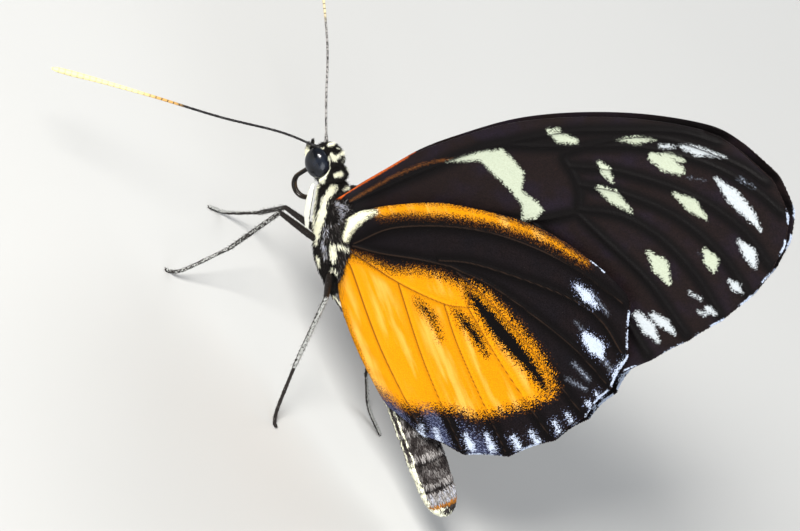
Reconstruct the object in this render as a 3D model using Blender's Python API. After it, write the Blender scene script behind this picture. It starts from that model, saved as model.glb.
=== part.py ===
"""Cream-spotted tigerwing butterfly, life size, standing with its wings closed over its back.

The head faces -X, the tail +X, +Z is up and the left side faces -Y. The floor under the feet is
z = 0. The sizes below are millimetres, and the meshes are made in metres.
"""

import math

import bpy
import numpy as np
from mathutils import Vector
from mathutils.geometry import delaunay_2d_cdt

# Driving dimensions, in millimetres

MM = 0.001
GAP = 0.3
SHARP_ANGLE = math.radians(40)

THORAX_CENTRE = (-0.2, 11.55)
BODY_PITCH = 37.0  # degrees that the head end of the thorax points up
# Along the body axis from its centre, then how far it reaches up, down and to each side
THORAX_STATIONS = (
    (4.35, 0.45, 0.40, 0.50),
    (4.10, 1.25, 0.85, 1.05),
    (3.50, 1.70, 1.10, 1.42),
    (2.40, 1.98, 1.32, 1.66),
    (1.00, 2.02, 1.60, 1.76),
    (-0.60, 1.92, 1.82, 1.76),
    (-2.20, 1.68, 1.82, 1.60),
    (-3.60, 1.34, 1.55, 1.32),
    (-4.60, 0.90, 0.98, 0.95),
    (-4.95, 0.35, 0.40, 0.40),
)
COLLAR_CENTRE = (4.55, 0.20)
COLLAR_RADII = (0.95, 1.50, 1.36)
HEAD_CENTRE = (5.80, 0.02)
HEAD_RADII = (1.38, 1.45, 1.28)
EYE_CENTRE = (5.66, -0.52, 0.98)
EYE_RADII = (1.26, 1.06, 0.76)

ABDOMEN_AXIS = (
    (3.5, 8.75), (6.5, 8.75), (10.0, 8.3), (13.5, 7.55), (17.0, 6.5), (20.0, 5.5), (22.5, 4.65),
    (24.3, 4.0),
)
ABDOMEN_RADII = (0.80, 1.18, 1.40, 1.50, 1.56, 1.60, 1.42, 0.62)
ABDOMEN_SEGMENTS = 8
SEGMENT_GROOVE = 0.10

WING_THICKNESS = 0.5
RIDGE_HEIGHT = 0.12
RIDGE_HALF_WIDTH = 0.30
SCALLOP_DEPTH = 0.28
OUTLINE_STEPS = 4

# Front edge, ends of the veins on the outer margin, and inner edge of each wing, as (x, z)
FOREWING_COSTA = (
    (-1.7, 13.7), (-1.7, 15.4), (-1.4, 18.4), (-1.0, 21.9), (-0.1, 25.4), (1.6, 30.4), (4.1, 35.1),
    (7.4, 39.8), (11.1, 43.7),
)
FOREWING_MARGIN = (
    (13.9, 45.2), (17.2, 45.9), (20.1, 45.2), (21.9, 43.4), (23.0, 41.0), (23.7, 38.2), (23.9, 35.2),
    (23.7, 31.8), (23.3, 28.2), (22.6, 24.9),
)
FOREWING_INNER = (
    (20.6, 23.2), (16.5, 21.3), (11.0, 18.6), (6.0, 16.2), (2.6, 14.4), (0.6, 12.8), (-0.6, 12.4),
)
FOREWING_VEINS = (
    ((-1.0, 14.6), (-0.3, 17.6), (0.5, 21.5), (2.2, 27.9), (4.5, 31.5), (6.5, 34.5)),
    ((1.8, 27.1), (4.6, 33.6), (7.0, 37.6), (9.9, 41.8), (12.3, 43.9)),
    ((6.5, 34.5), (8.3, 38.6), (10.6, 41.4), (14.6, 44.2), (17.0, 45.2)),
    ((6.5, 34.5), (9.1, 38.4), (12.9, 42.0), (16.6, 44.0), (19.6, 44.8)),
    ((6.5, 34.5), (6.2, 32.7), (7.9, 32.4), (9.2, 31.9), (10.3, 30.8)),
    ((-0.4, 14.4), (2.3, 17.7), (5.2, 22.1), (8.7, 26.9), (10.4, 30.6)),
    ((7.1, 32.5), (9.8, 35.8), (14.3, 39.4), (18.6, 41.2), (22.3, 41.3)),
    ((8.7, 32.2), (11.1, 34.7), (15.0, 37.3), (19.4, 38.5), (23.1, 38.4)),
    ((10.3, 31.0), (12.6, 33.6), (15.9, 35.2), (19.8, 35.7), (23.2, 35.4)),
    ((10.4, 30.6), (13.4, 31.2), (18.0, 32.1), (23.0, 32.0)),
    ((8.7, 26.9), (13.4, 27.9), (18.5, 28.5), (22.6, 28.2)),
    ((1.4, 14.6), (6.0, 17.6), (12.0, 20.8), (18.0, 23.6), (21.9, 25.0)),
)
HINDWING_COSTA = (
    (0.2, 11.9), (0.0, 14.7), (0.6, 16.6), (1.6, 18.7), (3.4, 21.7), (5.7, 24.2), (8.2, 26.5),
    (10.8, 28.2), (13.8, 29.4), (16.6, 30.1),
)
HINDWING_MARGIN = (
    (18.8, 30.0), (22.0, 27.1), (23.3, 24.2), (24.0, 20.8), (24.1, 17.1), (23.1, 12.9), (20.9, 9.6),
    (17.8, 7.8), (14.2, 7.0),
)
HINDWING_INNER = ((10.9, 7.4), (8.0, 8.1), (5.3, 9.1), (3.4, 10.2), (1.9, 11.1))
HINDWING_VEINS = (
    ((1.9, 13.3), (3.0, 17.5), (7.0, 23.2), (12.5, 27.4), (18.2, 29.6)),
    ((2.0, 13.1), (3.7, 14.6), (6.0, 17.2), (8.0, 19.2)),
    ((7.0, 18.6), (9.2, 21.3), (14.7, 25.6), (18.1, 27.1), (21.4, 26.9)),
    ((8.0, 19.2), (11.8, 21.4), (18.4, 23.6), (22.6, 24.2)),
    ((8.6, 19.3), (12.0, 20.1), (16.7, 20.6), (23.3, 20.8)),
    ((8.6, 19.3), (10.0, 19.6), (11.4, 18.2)),
    ((2.2, 12.6), (6.5, 14.4), (10.0, 16.6), (11.4, 18.2)),
    ((11.4, 18.2), (16.3, 17.6), (23.4, 17.2)),
    ((10.1, 16.6), (14.0, 15.2), (22.5, 13.1)),
    ((6.5, 14.4), (12.8, 12.0), (20.4, 9.9)),
    ((3.0, 11.9), (10.0, 9.7), (17.2, 8.2)),
)
FOREWING_STANDOFF = 0.60  # from the plane of symmetry to the middle of the membrane
HINDWING_STANDOFF = 1.56
FOREWING_HINGE = (-1.35, 14.2)
FOREWING_SPLAY = (0.85, 1.7)  # how far the root leans out, and over what distance
HINDWING_SWELL = (0.62, 2.6)  # how far it bulges round the body, and over what distance
FAR_HINDWING_DROOP = 3.5  # degrees that the right hindwing hangs lower than the left

ANTENNA_ROOT = (6.75, -0.35, 0.52)
ANTENNA_TIPS = {
    "left": (
        (-8.7, -2.5, 14.4), (-12.4, -6.0, 12.8), (-16.6, -9.4, 11.1), (-20.0, -11.9, 9.5),
        (-23.0, -14.0, 7.9),
    ),
    "right": (
        (-8.8, 2.5, 16.7), (-12.0, 5.0, 18.1), (-15.6, 7.7, 19.1), (-18.8, 10.0, 19.8), (-21.6, 12.1, 20.2),
    ),
}
ANTENNA_RADIUS = 0.25
CLUB_RADIUS = 0.33
CLUB_END_RADIUS = 0.31
ANTENNA_TIP_RADIUS = 0.17
ANTENNA_PLACES = (0, 0.58, 0.88, 0.97, 1)  # shares of its length where the radii above hold

PALP = ((5.62, -1.92, 0.46), (6.1, -1.98, 0.45), (6.7, -1.84, 0.43), (7.25, -1.60, 0.42))
PALP_RADII = (0.25, 0.26, 0.26, 0.16)
COIL_CENTRE = (3.35, -2.14)
COIL_RADIUS = 1.12
COIL_TURN = (28.0, 205.0)  # degrees, from under the head round to the free tip
COIL_TIP = 0.82  # share of the radius that the coil keeps at its tip
PROBOSCIS_RADII = (0.25, 0.25, 0.22)

FORELEG = ((0.2, -2.02, 0.95), (1.3, -1.98, 0.98), (2.6, -1.74, 0.95), (3.7, -1.42, 0.85))
FORELEG_RADII = (0.22, 0.30, 0.30, 0.24)
# Root, knee, ankle, sole and toe of each walking leg, as (x, outward, z)
LEGS = {
    "midleg_left": (
        (0.3, 0.7, 10.2), (-3.6, 4.0, 10.8), (-3.8, 3.3, 4.6), (-4.6, 5.3, 0.9), (-5.2, 5.7, 0.0),
    ),
    "midleg_right": (
        (0.3, 0.7, 10.2), (-3.9, 3.2, 7.2), (-5.0, 6.2, 3.0), (-6.6, 6.2, 0.35), (-7.6, 5.4, 0.0),
    ),
    "hindleg_left": (
        (2.5, 0.4, 9.2), (4.1, 4.8, 10.0), (7.0, 5.8, 4.4), (8.9, 6.3, 0.9), (9.7, 6.5, 0.0),
    ),
    "hindleg_right": (
        (2.5, 0.4, 9.2), (6.6, 4.6, 8.4), (11.2, 5.6, 2.4), (13.4, 5.8, 0.45), (15.5, 5.6, 0.0),
    ),
}
FOOT_RADIUS = 0.26
TOE_LENGTH = 0.5
FEMUR_RADII = (0.36, 0.44, 0.36, 0.30)
TIBIA_RADII = (0.27, 0.26, 0.27)
TARSUS_RADII = (0.25, 0.25, 0.26, 0.26)

# Colour and roughness of each finish
BLACK_SCALES = ((0.012, 0.010, 0.012), 0.7)
CREAM_SCALES = ((0.16, 0.15, 0.12), 0.7)
GREY_SCALES = ((0.10, 0.085, 0.075), 0.7)
WING_BROWN = ((0.030, 0.020, 0.022), 0.6)
WING_ORANGE = ((0.62, 0.22, 0.012), 0.6)
EYE_GLOSS = ((0.02, 0.024, 0.035), 0.18)
FEELER_YELLOW = ((0.45, 0.36, 0.13), 0.55)
FEELER_GREY = ((0.10, 0.095, 0.085), 0.6)


# Curves and frames


def spline(points, steps, closed=False):
    """A Catmull-Rom curve through the points, with this many steps from each to the next."""
    points = np.asarray(points, float)
    count = len(points)
    if closed:
        spans = range(count)
        around = points[[(i + k) % count for i in spans for k in (-1, 0, 1, 2)]].reshape(count, 4, -1)
    else:
        padded = np.vstack([2 * points[0] - points[1], points, 2 * points[-1] - points[-2]])
        around = np.stack([padded[i : i + 4] for i in range(count - 1)])
    t = (np.arange(steps) / steps)[:, None]
    curve = [
        0.5 * (2 * b + (c - a) * t + (2 * a - 5 * b + 4 * c - d) * t**2 + (3 * b - a - 3 * c + d) * t**3)
        for a, b, c, d in around
    ]
    curve = np.vstack(curve)
    return curve if closed else np.vstack([curve, points[-1]])


def on_body(along, above, across=0.0):
    """A point given along the body axis, above it and across it, turned into x, y and z."""
    pitch = math.radians(BODY_PITCH)
    x = THORAX_CENTRE[0] - along * math.cos(pitch) + above * math.sin(pitch)
    z = THORAX_CENTRE[1] + along * math.sin(pitch) + above * math.cos(pitch)
    return (x, across, z)


def along_radii(radii, count):
    return np.interp(np.linspace(0, 1, count), np.linspace(0, 1, len(radii)), radii)


# Closed shapes, each as points in millimetres and faces


def closed_rings(rings, first, last):
    """Joins rings of points into one closed skin, with a pole at each end."""
    rings = np.asarray(rings, float)
    count, sides = rings.shape[:2]
    points = np.vstack([rings.reshape(-1, 3), first, last])
    faces = []
    for i in range(count - 1):
        for j in range(sides):
            k = (j + 1) % sides
            faces.append((i * sides + j, i * sides + k, (i + 1) * sides + k, (i + 1) * sides + j))
    head, tail = count * sides, count * sides + 1
    base = (count - 1) * sides
    for j in range(sides):
        k = (j + 1) % sides
        faces.append((k, j, head))
        faces.append((base + j, base + k, tail))
    return points, faces


def body_loft(centres, ups, downs, halves, sides, grow=0.0):
    """Oval rings square to a line of centres in the plane of symmetry, each reaching up, down and out."""
    centres = np.asarray(centres, float)
    slopes = np.gradient(centres, axis=0)
    slopes /= np.linalg.norm(slopes, axis=1)[:, None]
    turn = np.arange(sides) * 2 * math.pi / sides
    rings = []
    for (x, z), (dx, dz), up, down, half in zip(centres, slopes, ups, downs, halves):
        reach = np.where(np.sin(turn) > 0, up + grow, down + grow) * np.sin(turn)
        normal = np.array([-dz, dx]) if dx > 0 else np.array([dz, -dx])
        rings.append(
            np.stack([x + normal[0] * reach, (half + grow) * np.cos(turn), z + normal[1] * reach], axis=1)
        )
    first = centres[0] - slopes[0] * (grow + 0.12)
    last = centres[-1] + slopes[-1] * (grow + 0.12)
    return closed_rings(rings, (first[0], 0, first[1]), (last[0], 0, last[1]))


def ellipsoid(centre, radii, rows=8, sides=14, grow=0.0):
    """A ball stretched along the body axis, above it and across it."""
    along, above, across = (radius + grow for radius in radii)
    turn = np.arange(sides) * 2 * math.pi / sides
    rings = []
    for step in range(1, rows):
        tilt = math.pi * step / rows
        rings.append([
            on_body(
                centre[0] + along * math.cos(tilt),
                centre[1] + above * math.sin(tilt) * math.sin(angle),
                centre[2] + across * math.sin(tilt) * math.cos(angle),
            )
            for angle in turn
        ])
    front = on_body(centre[0] + along, centre[1], centre[2])
    back = on_body(centre[0] - along, centre[1], centre[2])
    return closed_rings(rings, front, back)


def tube(path, radii, sides=8, grow=0.0, guide=(0, 0, 1)):
    """A round rod along a path with rounded ends. A facet of each ring faces against the guide."""
    path = np.asarray(path, float)
    slopes = np.gradient(path, axis=0)
    slopes /= np.linalg.norm(slopes, axis=1)[:, None]
    radii = np.asarray(radii, float) + grow
    start = path[0] - slopes[0] * radii[0] * 0.5
    end = path[-1] + slopes[-1] * radii[-1] * 0.5
    path = np.vstack([start, path, end])
    slopes = np.vstack([slopes[0], slopes, slopes[-1]])
    radii = np.concatenate([[radii[0] * 0.62], radii, [radii[-1] * 0.62]])
    turn = (np.arange(sides) + 0.5) * 2 * math.pi / sides
    side = np.cross(np.asarray(guide, float), slopes)
    side /= np.linalg.norm(side, axis=1)[:, None]
    rise = np.cross(slopes, side)
    rings = [
        p + r * (np.cos(turn)[:, None] * s + np.sin(turn)[:, None] * u)
        for p, r, s, u in zip(path, radii, side, rise)
    ]
    return closed_rings(rings, start - slopes[0] * radii[0] * 0.3, end + slopes[-1] * radii[-1] * 0.3)


# Blender objects


def material_of(name, finish):
    colour, roughness = finish
    material = bpy.data.materials.new(name)
    material.use_nodes = True
    shader = material.node_tree.nodes["Principled BSDF"]
    shader.inputs["Base Color"].default_value = (*colour, 1.0)
    shader.inputs["Roughness"].default_value = roughness
    shader.inputs["Metallic"].default_value = 0.0
    material.diffuse_color = (*colour, 1.0)
    return material


def object_of(name, shape, finish=None):
    """A mesh object from points in millimetres and faces, with its normals turned outwards."""
    points, faces = shape
    mesh = bpy.data.meshes.new(name)
    corners = (np.asarray(points, float) * MM).tolist()
    mesh.from_pydata(corners, [], [tuple(int(i) for i in face) for face in faces])
    mesh.update()
    obj = bpy.data.objects.new(name, mesh)
    bpy.context.collection.objects.link(obj)
    face_outwards(mesh)
    if finish:
        mesh.materials.append(material_of(name, finish))
        mesh.shade_smooth()
        mesh.set_sharp_from_angle(angle=SHARP_ANGLE)
    return obj


def face_outwards(mesh):
    """Flips a closed mesh whose faces point inwards, found from the sign of its volume."""
    mesh.calc_loop_triangles()
    points = np.array([v.co for v in mesh.vertices])
    corners = points[np.array([t.vertices for t in mesh.loop_triangles])]
    if np.einsum("ij,ij->i", corners[:, 0], np.cross(corners[:, 1], corners[:, 2])).sum() < 0:
        mesh.flip_normals()


def cutter(name, shape):
    """A grown copy of a neighbour, hidden, that cuts a piece back by the gap."""
    obj = object_of("cut_" + name, shape)
    obj.hide_render = True
    obj.display_type = "WIRE"
    return obj


def largest_surface(mesh):
    """Deletes every closed surface of the mesh but the largest."""
    parent = list(range(len(mesh.vertices)))

    def root(i):
        while parent[i] != i:
            parent[i] = parent[parent[i]]
            i = parent[i]
        return i

    for edge in mesh.edges:
        a, b = (root(i) for i in edge.vertices)
        parent[a] = b
    groups = {}
    for face in mesh.polygons:
        groups.setdefault(root(face.vertices[0]), []).append(face)
    best = max(groups.values(), key=lambda faces: sum(face.area for face in faces))
    used = sorted({i for face in best for i in face.vertices})
    place = {old: new for new, old in enumerate(used)}
    points = [tuple(mesh.vertices[i].co) for i in used]
    return points, [tuple(place[i] for i in face.vertices) for face in best]


def cut_back(obj, cutters):
    """Cuts the object by each cutter, applies the cuts and keeps its largest closed surface."""
    for tool in cutters:
        cut = obj.modifiers.new("clear of " + tool.name, "BOOLEAN")
        cut.operation = "DIFFERENCE"
        cut.object = tool
    bpy.context.view_layer.update()
    shaped = obj.evaluated_get(bpy.context.evaluated_depsgraph_get()).to_mesh()
    points, faces = largest_surface(shaped)
    obj.evaluated_get(bpy.context.evaluated_depsgraph_get()).to_mesh_clear()
    obj.modifiers.clear()
    mesh = bpy.data.meshes.new(obj.name)
    mesh.from_pydata(points, [], faces)
    mesh.update()
    for material in obj.data.materials:
        mesh.materials.append(material)
    mesh.shade_smooth()
    mesh.set_sharp_from_angle(angle=SHARP_ANGLE)
    obj.data = mesh


# Body


def thorax_shape(grow=0.0):
    stations = np.array(THORAX_STATIONS)
    centres = [on_body(along, 0.0)[::2] for along in stations[:, 0]]
    return body_loft(centres, stations[:, 1], stations[:, 2], stations[:, 3], 16, grow)


def abdomen_shape(grow=0.0):
    """Segments one behind the other, each a little narrower at its front edge than at its back."""
    fine = spline(ABDOMEN_AXIS, 8)
    wide = along_radii(ABDOMEN_RADII, len(fine))
    centres, radii = [], []
    for segment in range(ABDOMEN_SEGMENTS):
        for part, groove in ((0.0, SEGMENT_GROOVE), (0.35, 0.0), (0.92, 0.0)):
            place = (segment + part) / ABDOMEN_SEGMENTS * (len(fine) - 1)
            whole = np.arange(len(fine))
            centres.append([np.interp(place, whole, fine[:, 0]), np.interp(place, whole, fine[:, 1])])
            radii.append(np.interp(place, whole, wide) - groove)
    centres.append(fine[-1])
    radii.append(ABDOMEN_RADII[-1] * 0.75)
    radii = np.array(radii)
    return body_loft(centres, radii, radii, radii * 0.98, 14, grow)


def make_body():
    """Thorax, collar, head, eyes and abdomen. Returns the grown head, thorax and eyes that cut the rest."""
    object_of("thorax", thorax_shape(), BLACK_SCALES)
    collar = object_of("collar", ellipsoid((*COLLAR_CENTRE, 0.0), COLLAR_RADII), BLACK_SCALES)
    head = object_of("head", ellipsoid((*HEAD_CENTRE, 0.0), HEAD_RADII, 9, 16), BLACK_SCALES)
    abdomen = object_of("abdomen", abdomen_shape(), GREY_SCALES)
    past_head = cutter("head", ellipsoid((*HEAD_CENTRE, 0.0), HEAD_RADII, 9, 16, GAP))
    past_thorax = cutter("thorax", thorax_shape(GAP))
    past_eyes = []
    for side, name in ((-1, "left"), (1, "right")):
        centre = (EYE_CENTRE[0], EYE_CENTRE[1], side * EYE_CENTRE[2])
        object_of("eye_" + name, ellipsoid(centre, EYE_RADII), EYE_GLOSS)
        past_eyes.append(cutter("eye_" + name, ellipsoid(centre, EYE_RADII, grow=GAP)))
    cut_back(head, past_eyes)
    cut_back(collar, [past_head, past_thorax, *past_eyes])
    cut_back(abdomen, [past_thorax])
    return past_head, past_thorax, past_eyes


def make_mouthparts(past_head, past_thorax, past_eyes):
    for side, name in ((-1, "left"), (1, "right")):
        path = [on_body(along, above, side * across) for along, above, across in PALP]
        smooth = spline(path, 3)
        radii = along_radii(PALP_RADII, len(smooth))
        palp = object_of("palp_" + name, tube(smooth, radii, guide=(0, 1, 0)), CREAM_SCALES)
        cut_back(palp, [past_head, *past_eyes])
    turns = np.radians(np.linspace(*COIL_TURN, 13))
    wound = [
        on_body(COIL_CENTRE[0] + r * math.cos(a), COIL_CENTRE[1] - r * math.sin(a))
        for a, r in zip(turns, np.linspace(COIL_RADIUS, COIL_RADIUS * COIL_TIP, len(turns)))
    ]
    lip = on_body(HEAD_CENTRE[0] - 0.55, -1.2)
    path = np.vstack([lip, wound])
    radii = along_radii(PROBOSCIS_RADII, len(path))
    proboscis = object_of("proboscis", tube(path, radii, guide=(0, 1, 0)), BLACK_SCALES)
    cut_back(proboscis, [past_head, past_thorax])


def make_antennae(past_head, past_eyes):
    for side, name, finish in ((-1, "left", FEELER_YELLOW), (1, "right", FEELER_GREY)):
        along, above, across = ANTENNA_ROOT
        path = spline([on_body(along, above, side * across), *ANTENNA_TIPS[name]], 3)
        places = np.linspace(0, 1, len(path))
        profile = (ANTENNA_RADIUS, ANTENNA_RADIUS, CLUB_RADIUS, CLUB_END_RADIUS, ANTENNA_TIP_RADIUS)
        radii = np.interp(places, ANTENNA_PLACES, profile)
        cut_back(object_of("antenna_" + name, tube(path, radii), finish), [past_head, *past_eyes])


# Legs


def make_legs(past_thorax):
    for side, name in ((-1, "left"), (1, "right")):
        path = spline([on_body(along, above, side * across) for along, above, across in FORELEG], 3)
        radii = along_radii(FORELEG_RADII, len(path))
        foreleg = object_of("foreleg_" + name, tube(path, radii, guide=(0, 1, 0)), BLACK_SCALES)
        cut_back(foreleg, [past_thorax])
    for name, points in LEGS.items():
        side = -1 if name.endswith("left") else 1
        root, knee, ankle, sole, toe = (np.array([x, side * y, z]) for x, y, z in points)
        leg, hand = name.split("_")
        make_leg(leg, hand, root, knee, ankle, sole, toe, past_thorax)


def make_leg(leg, hand, root, knee, ankle, sole, toe, past_thorax):
    """Thigh, shin and foot of one leg, each cut back from the one before. The toe lies on the floor."""
    thigh_path = np.linspace(root, knee, 6)
    thigh_radii = along_radii(FEMUR_RADII, len(thigh_path))
    lean = (0, 0.2, 1)
    thigh = object_of(f"{leg}_femur_{hand}", tube(thigh_path, thigh_radii, guide=lean), BLACK_SCALES)
    cut_back(thigh, [past_thorax])
    past_knee = cutter(f"{leg}_femur_{hand}", tube(thigh_path, thigh_radii, grow=GAP, guide=lean))
    shin_path = np.linspace(knee, ankle, 5)
    shin_radii = along_radii(TIBIA_RADII, len(shin_path))
    forwards = (1, 0, 0)
    shin = object_of(f"{leg}_tibia_{hand}", tube(shin_path, shin_radii, guide=forwards), BLACK_SCALES)
    cut_back(shin, [past_knee])
    past_ankle = cutter(f"{leg}_tibia_{hand}", tube(shin_path, shin_radii, grow=GAP, guide=forwards))
    rest = np.array([0, 0, FOOT_RADIUS * math.cos(math.pi / 8)])
    ahead = (toe - sole) * (1, 1, 0)
    tip = toe + ahead / np.linalg.norm(ahead) * TOE_LENGTH
    foot_path = np.vstack([spline([ankle, sole + rest, toe + rest], 3), tip + rest])
    foot_radii = along_radii(TARSUS_RADII, len(foot_path))
    foot = object_of(f"{leg}_tarsus_{hand}", tube(foot_path, foot_radii), BLACK_SCALES)
    cut_back(foot, [past_ankle])


# Wings


def forewing_lean(x, z):
    """Distance of the forewing from the plane of symmetry, larger round its hinge."""
    lean, reach = FOREWING_SPLAY
    far = np.hypot(x - FOREWING_HINGE[0], z - FOREWING_HINGE[1]) / reach
    return FOREWING_STANDOFF + lean * np.exp(-(far**2))


def hindwing_lean(x, z):
    """Distance of the hindwing from the plane of symmetry, larger along the thorax and abdomen."""
    swell, reach = HINDWING_SWELL
    nose = on_body(THORAX_STATIONS[0][0], 0.0)
    line_x = [nose[0], *(p[0] for p in ABDOMEN_AXIS)]
    line_z = [nose[2], *(p[1] for p in ABDOMEN_AXIS)]
    above = z - np.interp(x, line_x, line_z)
    behind = np.clip((x - 18.0) / 4.0, 0, 1)
    return HINDWING_STANDOFF + swell * np.exp(-((above / reach) ** 2)) * (1 - behind)


def wing_outline(costa, margin, inner, scallop):
    """The closed edge of a wing. Between two vein ends the margin is drawn in by the scallop's depth."""
    points = np.array([*costa, *margin, *inner], float)
    first, last = len(costa), len(costa) + len(margin) - 1
    steps = OUTLINE_STEPS
    edge = spline(points, steps, closed=True)
    middle = points.mean(axis=0)
    place = np.arange(len(edge)) / steps
    share = np.where((place > first) & (place < last), np.sin(math.pi * (place % 1.0)), 0.0)
    inward = middle - edge
    inward /= np.linalg.norm(inward, axis=1)[:, None]
    return edge + inward * (scallop * share)[:, None]


def vein_lines(veins):
    """The crest of each vein and the two feet beside it, joined at both ends."""
    lines, crests = [], []
    for vein in veins:
        crest = spline(vein, 2)
        slope = np.gradient(crest, axis=0)
        slope /= np.linalg.norm(slope, axis=1)[:, None]
        beside = np.stack([-slope[:, 1], slope[:, 0]], axis=1) * RIDGE_HALF_WIDTH
        beside[[0, -1]] = 0
        crests.append(crest)
        lines += [crest, crest + beside, crest - beside]
    return lines, crests


def inside(points, polygon):
    """Which points lie inside a polygon, by counting the edges that a ray crosses."""
    a, b = polygon, np.roll(polygon, -1, axis=0)
    x, z = points[:, :1], points[:, 1:]
    crosses = ((a[:, 1] > z) != (b[:, 1] > z)) & (
        x < (b[:, 0] - a[:, 0]) * (z - a[:, 1]) / (b[:, 1] - a[:, 1] + 1e-12) + a[:, 0]
    )
    return crosses.sum(axis=1) % 2 == 1


def distance_to_lines(points, lines):
    """Shortest distance from each point to any of the lines."""
    best = np.full(len(points), 1e9)
    for line in lines:
        for a, b in zip(line[:-1], line[1:]):
            along = np.clip(((points - a) @ (b - a)) / max((b - a) @ (b - a), 1e-12), 0, 1)
            best = np.minimum(best, np.linalg.norm(points - a - along[:, None] * (b - a), axis=1))
    return best


def wing_shape(outline, veins, lean, side):
    """A membrane whose two faces share one triangulation, with its veins raised on the outer face."""
    lines, crests = vein_lines(veins)
    spots = np.array([(x, z) for x in np.arange(-2.0, 25.0, 2.8) for z in np.arange(8.0, 46.0, 2.8)])
    edge = np.vstack([outline, outline[:1]])
    clear = inside(spots, outline) & (distance_to_lines(spots, [*crests, edge]) > 1.0)
    kept_lines = [line[inside(line, outline)] for line in lines]
    points = [*outline, *spots[clear]]
    edges = []
    for line in kept_lines:
        edges += [(len(points) + i, len(points) + i + 1) for i in range(len(line) - 1)]
        points += list(line)
    border = [list(range(len(outline)))]
    made = delaunay_2d_cdt([Vector(p) for p in points], edges, border, 1, 1e-3)
    flat = np.array([tuple(p) for p in made[0]])
    triangles = [tuple(face) for face in made[2]]
    ridge = RIDGE_HEIGHT * np.clip(1 - distance_to_lines(flat, crests) / RIDGE_HALF_WIDTH, 0, 1)
    count = {}
    for face in triangles:
        for a, b in zip(face, face[1:] + face[:1]):
            count[(a, b)] = count.get((a, b), 0) + 1
    rim = [(a, b) for a, b in count if (b, a) not in count]
    edge_points = {i for pair in rim for i in pair}
    ridge[[i in edge_points for i in range(len(flat))]] = 0
    middle = lean(flat[:, 0], flat[:, 1])
    outer = side * (middle + WING_THICKNESS / 2 + ridge)
    inner = side * (middle - WING_THICKNESS / 2)
    faces = list(triangles)
    faces += [tuple(len(flat) + i for i in reversed(face)) for face in triangles]
    faces += [(b, a, len(flat) + a, len(flat) + b) for a, b in rim]
    both = np.vstack([np.stack([flat[:, 0], y, flat[:, 1]], axis=1) for y in (outer, inner)])
    return both, faces


def turned(points, degrees, pivot):
    """Points in x and z turned about a pivot, so that what lies behind it goes down."""
    angle = math.radians(degrees)
    x, z = np.asarray(points, float).T
    dx, dz = x - pivot[0], z - pivot[1]
    along = dx * math.cos(angle) + dz * math.sin(angle)
    above = dz * math.cos(angle) - dx * math.sin(angle)
    return np.stack([pivot[0] + along, pivot[1] + above], axis=1)


def make_wings(past_thorax, past_abdomen):
    for side, name in ((-1, "left"), (1, "right")):
        edge = wing_outline(FOREWING_COSTA, FOREWING_MARGIN, FOREWING_INNER, SCALLOP_DEPTH * 0.4)
        shape = wing_shape(edge, FOREWING_VEINS, forewing_lean, side)
        fore = object_of("forewing_" + name, shape, WING_BROWN)
        cut_back(fore, [past_thorax])
        droop = FAR_HINDWING_DROOP if side > 0 else 0.0
        pivot = HINDWING_COSTA[0]
        edge = wing_outline(HINDWING_COSTA, HINDWING_MARGIN, HINDWING_INNER, SCALLOP_DEPTH)
        edge = turned(edge, droop, pivot)
        veins = [turned(vein, droop, pivot) for vein in HINDWING_VEINS]
        hind = object_of("hindwing_" + name, wing_shape(edge, veins, hindwing_lean, side), WING_ORANGE)
        cut_back(hind, [past_thorax, past_abdomen])


def stand_over_origin(objects):
    """Parents every object to one empty, moved so that the middle of their box is over the origin."""
    corners = np.array([v.co for obj in objects for v in obj.data.vertices])
    middle = (corners.min(axis=0) + corners.max(axis=0)) / 2
    stand = bpy.data.objects.new("butterfly", None)
    bpy.context.collection.objects.link(stand)
    stand.location = (-middle[0], -middle[1], 0.0)
    for obj in objects:
        obj.parent = stand


def main():
    for obj in list(bpy.data.objects):
        bpy.data.objects.remove(obj, do_unlink=True)
    past_head, past_thorax, past_eyes = make_body()
    past_abdomen = cutter("abdomen", abdomen_shape(GAP))
    make_mouthparts(past_head, past_thorax, past_eyes)
    make_antennae(past_head, past_eyes)
    make_legs(past_thorax)
    make_wings(past_thorax, past_abdomen)
    for obj in [o for o in bpy.data.objects if o.name.startswith("cut_")]:
        bpy.data.objects.remove(obj, do_unlink=True)
    stand_over_origin(list(bpy.data.objects))


main()
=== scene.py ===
"""A life-size tiger-patterned butterfly with its wings closed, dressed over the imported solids.

Lengths in the tables are millimetres in the same axes as the solids before they were moved over the origin:
x from the head towards the wing margins, y across the body and z up. Colours are linear red, green, blue.
"""
import math

import bpy
import numpy as np
from mathutils import Matrix, Vector


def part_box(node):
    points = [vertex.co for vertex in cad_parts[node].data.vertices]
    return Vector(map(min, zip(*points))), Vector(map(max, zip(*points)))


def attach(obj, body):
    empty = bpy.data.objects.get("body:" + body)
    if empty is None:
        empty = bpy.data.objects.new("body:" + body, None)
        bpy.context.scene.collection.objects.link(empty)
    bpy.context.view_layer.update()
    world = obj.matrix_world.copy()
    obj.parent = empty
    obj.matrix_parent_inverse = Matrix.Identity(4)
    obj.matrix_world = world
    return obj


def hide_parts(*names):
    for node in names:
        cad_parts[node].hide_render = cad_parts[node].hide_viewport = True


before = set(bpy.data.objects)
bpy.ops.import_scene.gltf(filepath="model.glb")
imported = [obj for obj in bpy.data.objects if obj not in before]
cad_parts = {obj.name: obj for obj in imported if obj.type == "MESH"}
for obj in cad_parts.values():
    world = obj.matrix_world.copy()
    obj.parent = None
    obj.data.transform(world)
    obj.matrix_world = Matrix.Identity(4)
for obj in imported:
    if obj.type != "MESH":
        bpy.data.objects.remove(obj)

bl_info = {
    "name": "Butterfly finish",
    "version": (1, 0, 0),
    "blender": (4, 5, 0),
    "location": "3D View > Sidebar > Butterfly",
    "description": "Wings, coat, eyes, feelers and legs of a still butterfly",
    "category": "Object",
}

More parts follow.
